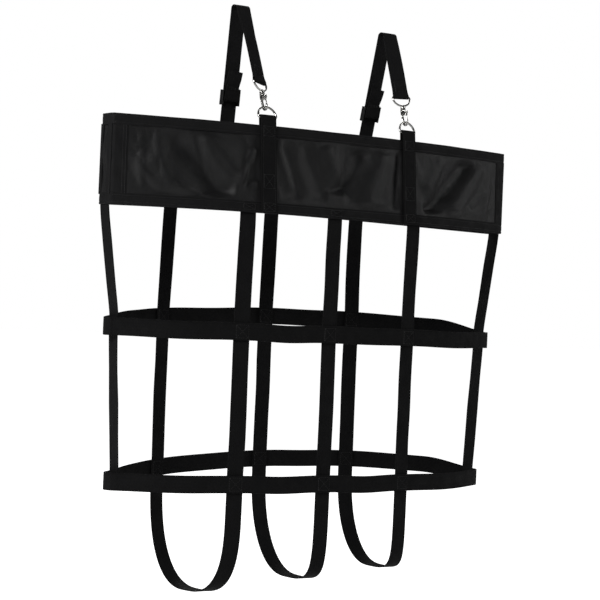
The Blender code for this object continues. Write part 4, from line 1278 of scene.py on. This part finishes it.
def snap_gate(side):
    """The sprung gate: a hub with a pocket for the coil, a lever to the bow's tip, and a thumb lug."""
    f = FRAMES[side]
    pivot = f["origin"] + f["b"] * -0.0043 + f["axis"] * 0.0197
    hub = [(0.0008, -0.0013), (0.0016, -0.0013), (0.0017, -0.0012), (0.0017, 0.0013), (0.00146, 0.0013)]
    hub += [(0.00146, 0.0002), (0.0008, 0.0002)]
    lever_rows = [(-0.00045, -0.0016), (-0.0004, -0.0040), (-0.0004, -0.0070), (-0.0004, -0.0100)]
    lever_rows.append((-0.0003, -0.0121))
    lever_radii = [(0.00095, 0.0013), (0.0009, 0.0013), (0.00085, 0.00125), (0.0008, 0.0012)]
    lever_radii.append((0.0007, 0.0011))
    points = [pivot + f["b"] * b + f["axis"] * s for b, s in lever_rows]
    lever = wire_mesh(points, X_AXIS, lever_radii)
    lug_rows = [(-0.0009, -0.0060), (-0.0018, -0.0056), (-0.0026, -0.0051), (-0.0031, -0.0047)]
    lug = wire_mesh([pivot + f["b"] * b + f["axis"] * s for b, s in lug_rows], X_AXIS, 0.0008)
    return join_parts(f"snap_gate_lever_{side}", [lathe_mesh(hub, pivot, X_AXIS), lever, lug], NICKEL)


def slider_piece(side):
    """Moulded slider: two rails, two ribbed end bars behind the strap and a centre bar in front of it."""
    f = FRAMES[side]
    axes = (X_AXIS, f["along"], f["inward"])
    centre = f["root"] + f["along"] * SLIDER_S
    bar_in = STRAP_THICK * 1.5 + 2 * GAP
    end_in = STRAP_THICK / 2 + GAP
    slot, wide, length = WEB / 2 + 2 * GAP, 0.0153, 0.0112
    parts = []
    reach = slot + 0.001
    for sign in (-1, 1):
        rail = sorted((sign * slot, sign * wide))
        rail_high = (rail[1], length, bar_in + 0.002)
        parts.append(box_mesh(centre, axes, (rail[0], -length, -end_in - 0.002), rail_high))
        low, high = sorted((sign * length, sign * (length - 0.0044)))
        parts.append(box_mesh(centre, axes, (-reach, low, -end_in - 0.0019), (reach, high, -end_in)))
        for k in (-1, 0, 1):
            rib = (low + high) / 2 + k * 0.0013
            low_corner = (-slot + 0.002, rib - 0.0003, -end_in - 0.0024)
            parts.append(box_mesh(centre, axes, low_corner, (slot - 0.002, rib + 0.0003, -end_in - 0.001)))
    parts.append(box_mesh(centre, axes, (-reach, -0.0022, bar_in), (reach, 0.0022, bar_in + 0.0018)))
    return cast(f"slider_moulding_{side}", parts, PLASTIC, 0.00042, 3)


# ---------------------------------------------------------------- put the pieces on the frame

def build_front():
    """The front of the collar in three lengths that meet under the tabs."""
    grid, xs, heights = panel_shape("front_cloth", -1, FRONT_FOLDS)
    split = (-PANEL_END, STRAP_X["left"], STRAP_X["right"], PANEL_END)
    held = HALF_WIDTH - END_TAPE - 0.004
    bends = {
        "left": ("net", "collar_front", (-held, 0, 0), (STRAP_X["left"] - WEB / 2, 0, 0)),
        "centre": "collar_front",
        "right": ("net", "collar_front", (held, 0, 0), (STRAP_X["right"] + WEB / 2, 0, 0)),
    }
    for part, low, high in zip(bends, split, split[1:]):
        body = bends[part]
        panel = panel_piece(f"front_cloth_{part}", grid, xs, heights, low, high, -1)
        ends = (part == "left", part == "right")
        top = hem_piece(f"front_top_hem_{part}", -1, COLLAR_HEIGHT, -1, low, high, ends)
        bottom = hem_piece(f"front_bottom_hem_{part}", -1, 0.0, 1, low, high, ends)
        thread = Thread()
        hem_thread(thread, -1, COLLAR_HEIGHT, -1, low + 0.001, high - 0.001)
        hem_thread(thread, -1, 0.0, 1, low + 0.001, high - 0.001)
        hem_bars(thread, -1, low, high)
        pieces = [(panel, "coated_fabric", "front_panel"), (top, "binding_tape", "front_top_binding")]
        pieces.append((bottom, "binding_tape", "front_bottom_binding"))
        if part != "centre":
            tape = end_tape(f"front_end_tape_cloth_{part}", -1, -1 if part == "left" else 1, thread)
            pieces.append((tape, "binding_tape", f"front_end_tape_{part}"))
        else:
            for side in STRAP_X:
                tab_thread(thread, side)
        for piece, slot, node in pieces:
            place(piece, body, slot, node)
        thread.build(f"front_thread_{part}", body, THREAD)
    for side in STRAP_X:
        place(tab_piece(side), "collar_front", "net_webbing", f"front_tab_{side}")


def hem_bars(thread, side, low, high):
    """Small sewn boxes on the bottom binding, over the tops of the slings."""
    for x in HEM_X[side].values():
        if low < x - 0.001 < high and not (side < 0 and abs(x - STRAP_X["right"]) < WEB):
            point, normal = collar_point(x, HEM / 2, side, 0.0014)
            across = Z_AXIS.cross(normal).normalized()
            thread.box(point, across, normal.cross(across), normal, 0.0095, 0.0040)


def place(piece, body, slot, *nodes):
    """Put a piece on its body, and let it stand for its CAD nodes."""
    if isinstance(body, tuple):
        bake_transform(piece)
    else:
        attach(piece, body)
    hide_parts(*nodes)


def build_back():
    grid, xs, heights = panel_shape("back_cloth", 1, BACK_FOLDS)
    lift = np.array([[root_lift(x, 1, height) for x in xs] for height in heights])
    grid[:, :, 2] += lift
    panel = panel_piece("back_cloth", grid, xs, heights, -PANEL_END, PANEL_END, 1)
    place(panel, "net", "coated_fabric", "back_panel")
    top = hem_piece("back_top_hem", 1, COLLAR_HEIGHT, -1, -PANEL_END, PANEL_END, (True, True))
    place(top, "net", "binding_tape", "back_top_binding")
    bottom = hem_piece("back_bottom_hem", 1, 0.0, 1, -PANEL_END, PANEL_END, (True, True))
    place(bottom, "net", "binding_tape", "back_bottom_binding")
    thread = Thread()
    hem_thread(thread, 1, COLLAR_HEIGHT, -1, -PANEL_END, PANEL_END)
    hem_thread(thread, 1, 0.0, 1, -PANEL_END, PANEL_END)
    hem_bars(thread, 1, -PANEL_END, PANEL_END)
    for x in STRAP_X.values():
        point, normal = collar_point(x, COLLAR_HEIGHT - HEM / 2, 1, 0.0014)
        across = Z_AXIS.cross(normal).normalized()
        thread.box(point, across, normal.cross(across), normal, 0.0100, 0.0052)
    for end, part in ((-1, "left"), (1, "right")):
        tape = end_tape(f"back_end_tape_cloth_{part}", 1, end, thread)
        place(tape, "net", "binding_tape", f"back_end_tape_{part}")
        place(gusset_piece(f"gusset_cloth_{part}", end), "net", "coated_fabric", f"side_gusset_{part}")
    thread.build("back_thread", "net", THREAD)


def build_net():
    for number, name in enumerate(LOOP_DROP):
        place(sling_piece(name, 11 + number), "net", "net_webbing", f"sling_{name}")
    for name, base, seed in (("middle", MIDDLE_RING_Z, 5), ("bottom", BOTTOM_RING_Z, 8)):
        ring = band(f"{name}_ring_band", ring_rows(base, seed), WEBBING, closed=True)
        place(ring, "net", "net_webbing", f"{name}_ring")
    for end, part in ((-1, "left"), (1, "right")):
        place(side_strap(f"side_strap_band_{part}", end), "net", "net_webbing", f"side_strap_{part}")
    thread = Thread()
    crossing_thread(thread)
    thread.build("net_thread", "net", THREAD)


def build_hangers():
    for side in STRAP_X:
        f = FRAMES[side]
        rear, front = f"strap_rear_{side}", f"strap_front_{side}"
        bend = ("net", rear, f["root"] - f["up"] * 0.003, f["root"] + f["along"] * 0.014)
        place(strap_lower(side), bend, "strap_webbing", f"strap_root_{side}", rear)
        fold_over = (rear, front, (0, f["apex_back"].y, 0), (0, f["apex_front"].y, 0))
        place(strap_upper(side), fold_over, "strap_webbing", front)
        place(strap_return(side), f"slider_{side}", "strap_webbing", f"strap_return_{side}")
        place(slider_piece(side), f"slider_{side}", "black_plastic", f"strap_slider_{side}")
        place(swivel_eye(side), front, "nickel_plate", f"swivel_eye_{side}")
        place(snap_hook(side), f"snap_hook_{side}", "nickel_plate", f"snap_hook_{side}")
        place(snap_gate(side), f"snap_gate_{side}", "nickel_plate", f"snap_gate_{side}")
        place(d_ring(side), f"d_ring_{side}", "nickel_plate", f"d_ring_{side}")
        loop_thread, end_thread = Thread(), Thread()
        strap_thread(loop_thread, side)
        return_thread(end_thread, side)
        loop_thread.build(f"loop_thread_{side}", front, THREAD)
        end_thread.build(f"end_thread_{side}", f"slider_{side}", THREAD)
        for node, material in ((f"gate_pin_{side}", NICKEL), (f"gate_spring_{side}", STEEL)):
            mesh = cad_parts[node].data
            mesh.materials.clear()
            mesh.materials.append(material)


# ---------------------------------------------------------------- studio

def area_light(name, place_at, target, size, power, colour=(1, 1, 1)):
    light = bpy.data.lights.new(name, "AREA")
    light.shape = "RECTANGLE"
    light.size, light.size_y = size
    light.energy = power
    light.color = colour
    obj = bpy.data.objects.new(name, light)
    obj.location = place_at
    direction = Vector(target) - Vector(place_at)
    obj.rotation_mode = "QUATERNION"
    obj.rotation_quaternion = direction.to_track_quat("-Z", "Y")
    bpy.context.scene.collection.objects.link(obj)


def build_studio():
    world = bpy.data.worlds.new("studio")
    bpy.context.scene.world = world
    world.use_nodes = True
    nodes, links = world.node_tree.nodes, world.node_tree.links
    shown, cast_light = nodes["Background"], nodes.new("ShaderNodeBackground")
    shown.inputs["Color"].default_value = (1, 1, 1, 1)
    shown.inputs["Strength"].default_value = 1.0
    cast_light.inputs["Strength"].default_value = 0.06
    mix, ray = nodes.new("ShaderNodeMixShader"), nodes.new("ShaderNodeLightPath")
    links.new(ray.outputs["Is Camera Ray"], mix.inputs[0])
    links.new(cast_light.outputs[0], mix.inputs[1])
    links.new(shown.outputs[0], mix.inputs[2])
    links.new(mix.outputs[0], nodes["World Output"].inputs["Surface"])

    g = Graph("pale_floor")
    shade = g.noise(g.place(), 1.2, 3.0)
    colour = g.mix(shade, (0.86, 0.86, 0.86, 1), (0.90, 0.90, 0.90, 1))
    floor_material = g.finish(**{
        "Base Color": colour, "Roughness": 0.9, "Emission Color": (1, 1, 1, 1),
        "Emission Strength": g.spread(g.add("ShaderNodeLightPath", {}, "Is Camera Ray"), 0.0, 1.0, 0.18, 1.0),
    })
    size = 30.0
    level = CAD_BOX[0].z - 0.060
    corners = [(-size, -size, level), (size, -size, level), (size, size, level), (-size, size, level)]
    floor = make_object("floor", corners, [(0, 1, 2, 3)], floor_material)

    area_light("key", (-2.4, -0.8, 1.3), (0, 0, 0.15), (0.8, 0.8), 60)
    area_light("fill", (2.4, -1.0, 1.1), (0, 0, 0.1), (0.7, 0.9), 14)
    area_light("back", (0.6, 2.2, 1.5), (0, 0, 0.1), (1.6, 1.0), 22)
    bpy.context.scene.view_settings.view_transform = "Standard"


def build_camera():
    """Camera at the left of the front, level with the middle of the net and rolled a little."""
    yaw, pitch, roll = math.radians(34), math.radians(-0.5), math.radians(2.47)
    forward = Vector((math.sin(yaw) * math.cos(pitch), math.cos(yaw) * math.cos(pitch), -math.sin(pitch)))
    right = Vector((math.cos(yaw), -math.sin(yaw), 0))
    up = right.cross(forward)
    rolled_right = right * math.cos(roll) + up * math.sin(roll)
    rolled_up = up * math.cos(roll) - right * math.sin(roll)
    data = bpy.data.cameras.new("camera")
    data.sensor_width = 36.0
    data.lens = 1948 / 600 * 36.0
    data.clip_end = 200
    camera = bpy.data.objects.new("camera", data)
    place_at = -(rolled_right * 0.0182 + rolled_up * 0.1191 + forward * 2.902) + Z_AXIS * COLLAR_BOTTOM
    axes = Matrix((rolled_right, rolled_up, -forward)).transposed().to_4x4()
    camera.matrix_world = Matrix.Translation(place_at) @ axes
    bpy.context.scene.collection.objects.link(camera)
    bpy.context.scene.camera = camera


build_front()
build_back()
build_net()
build_hangers()
build_studio()
build_camera()
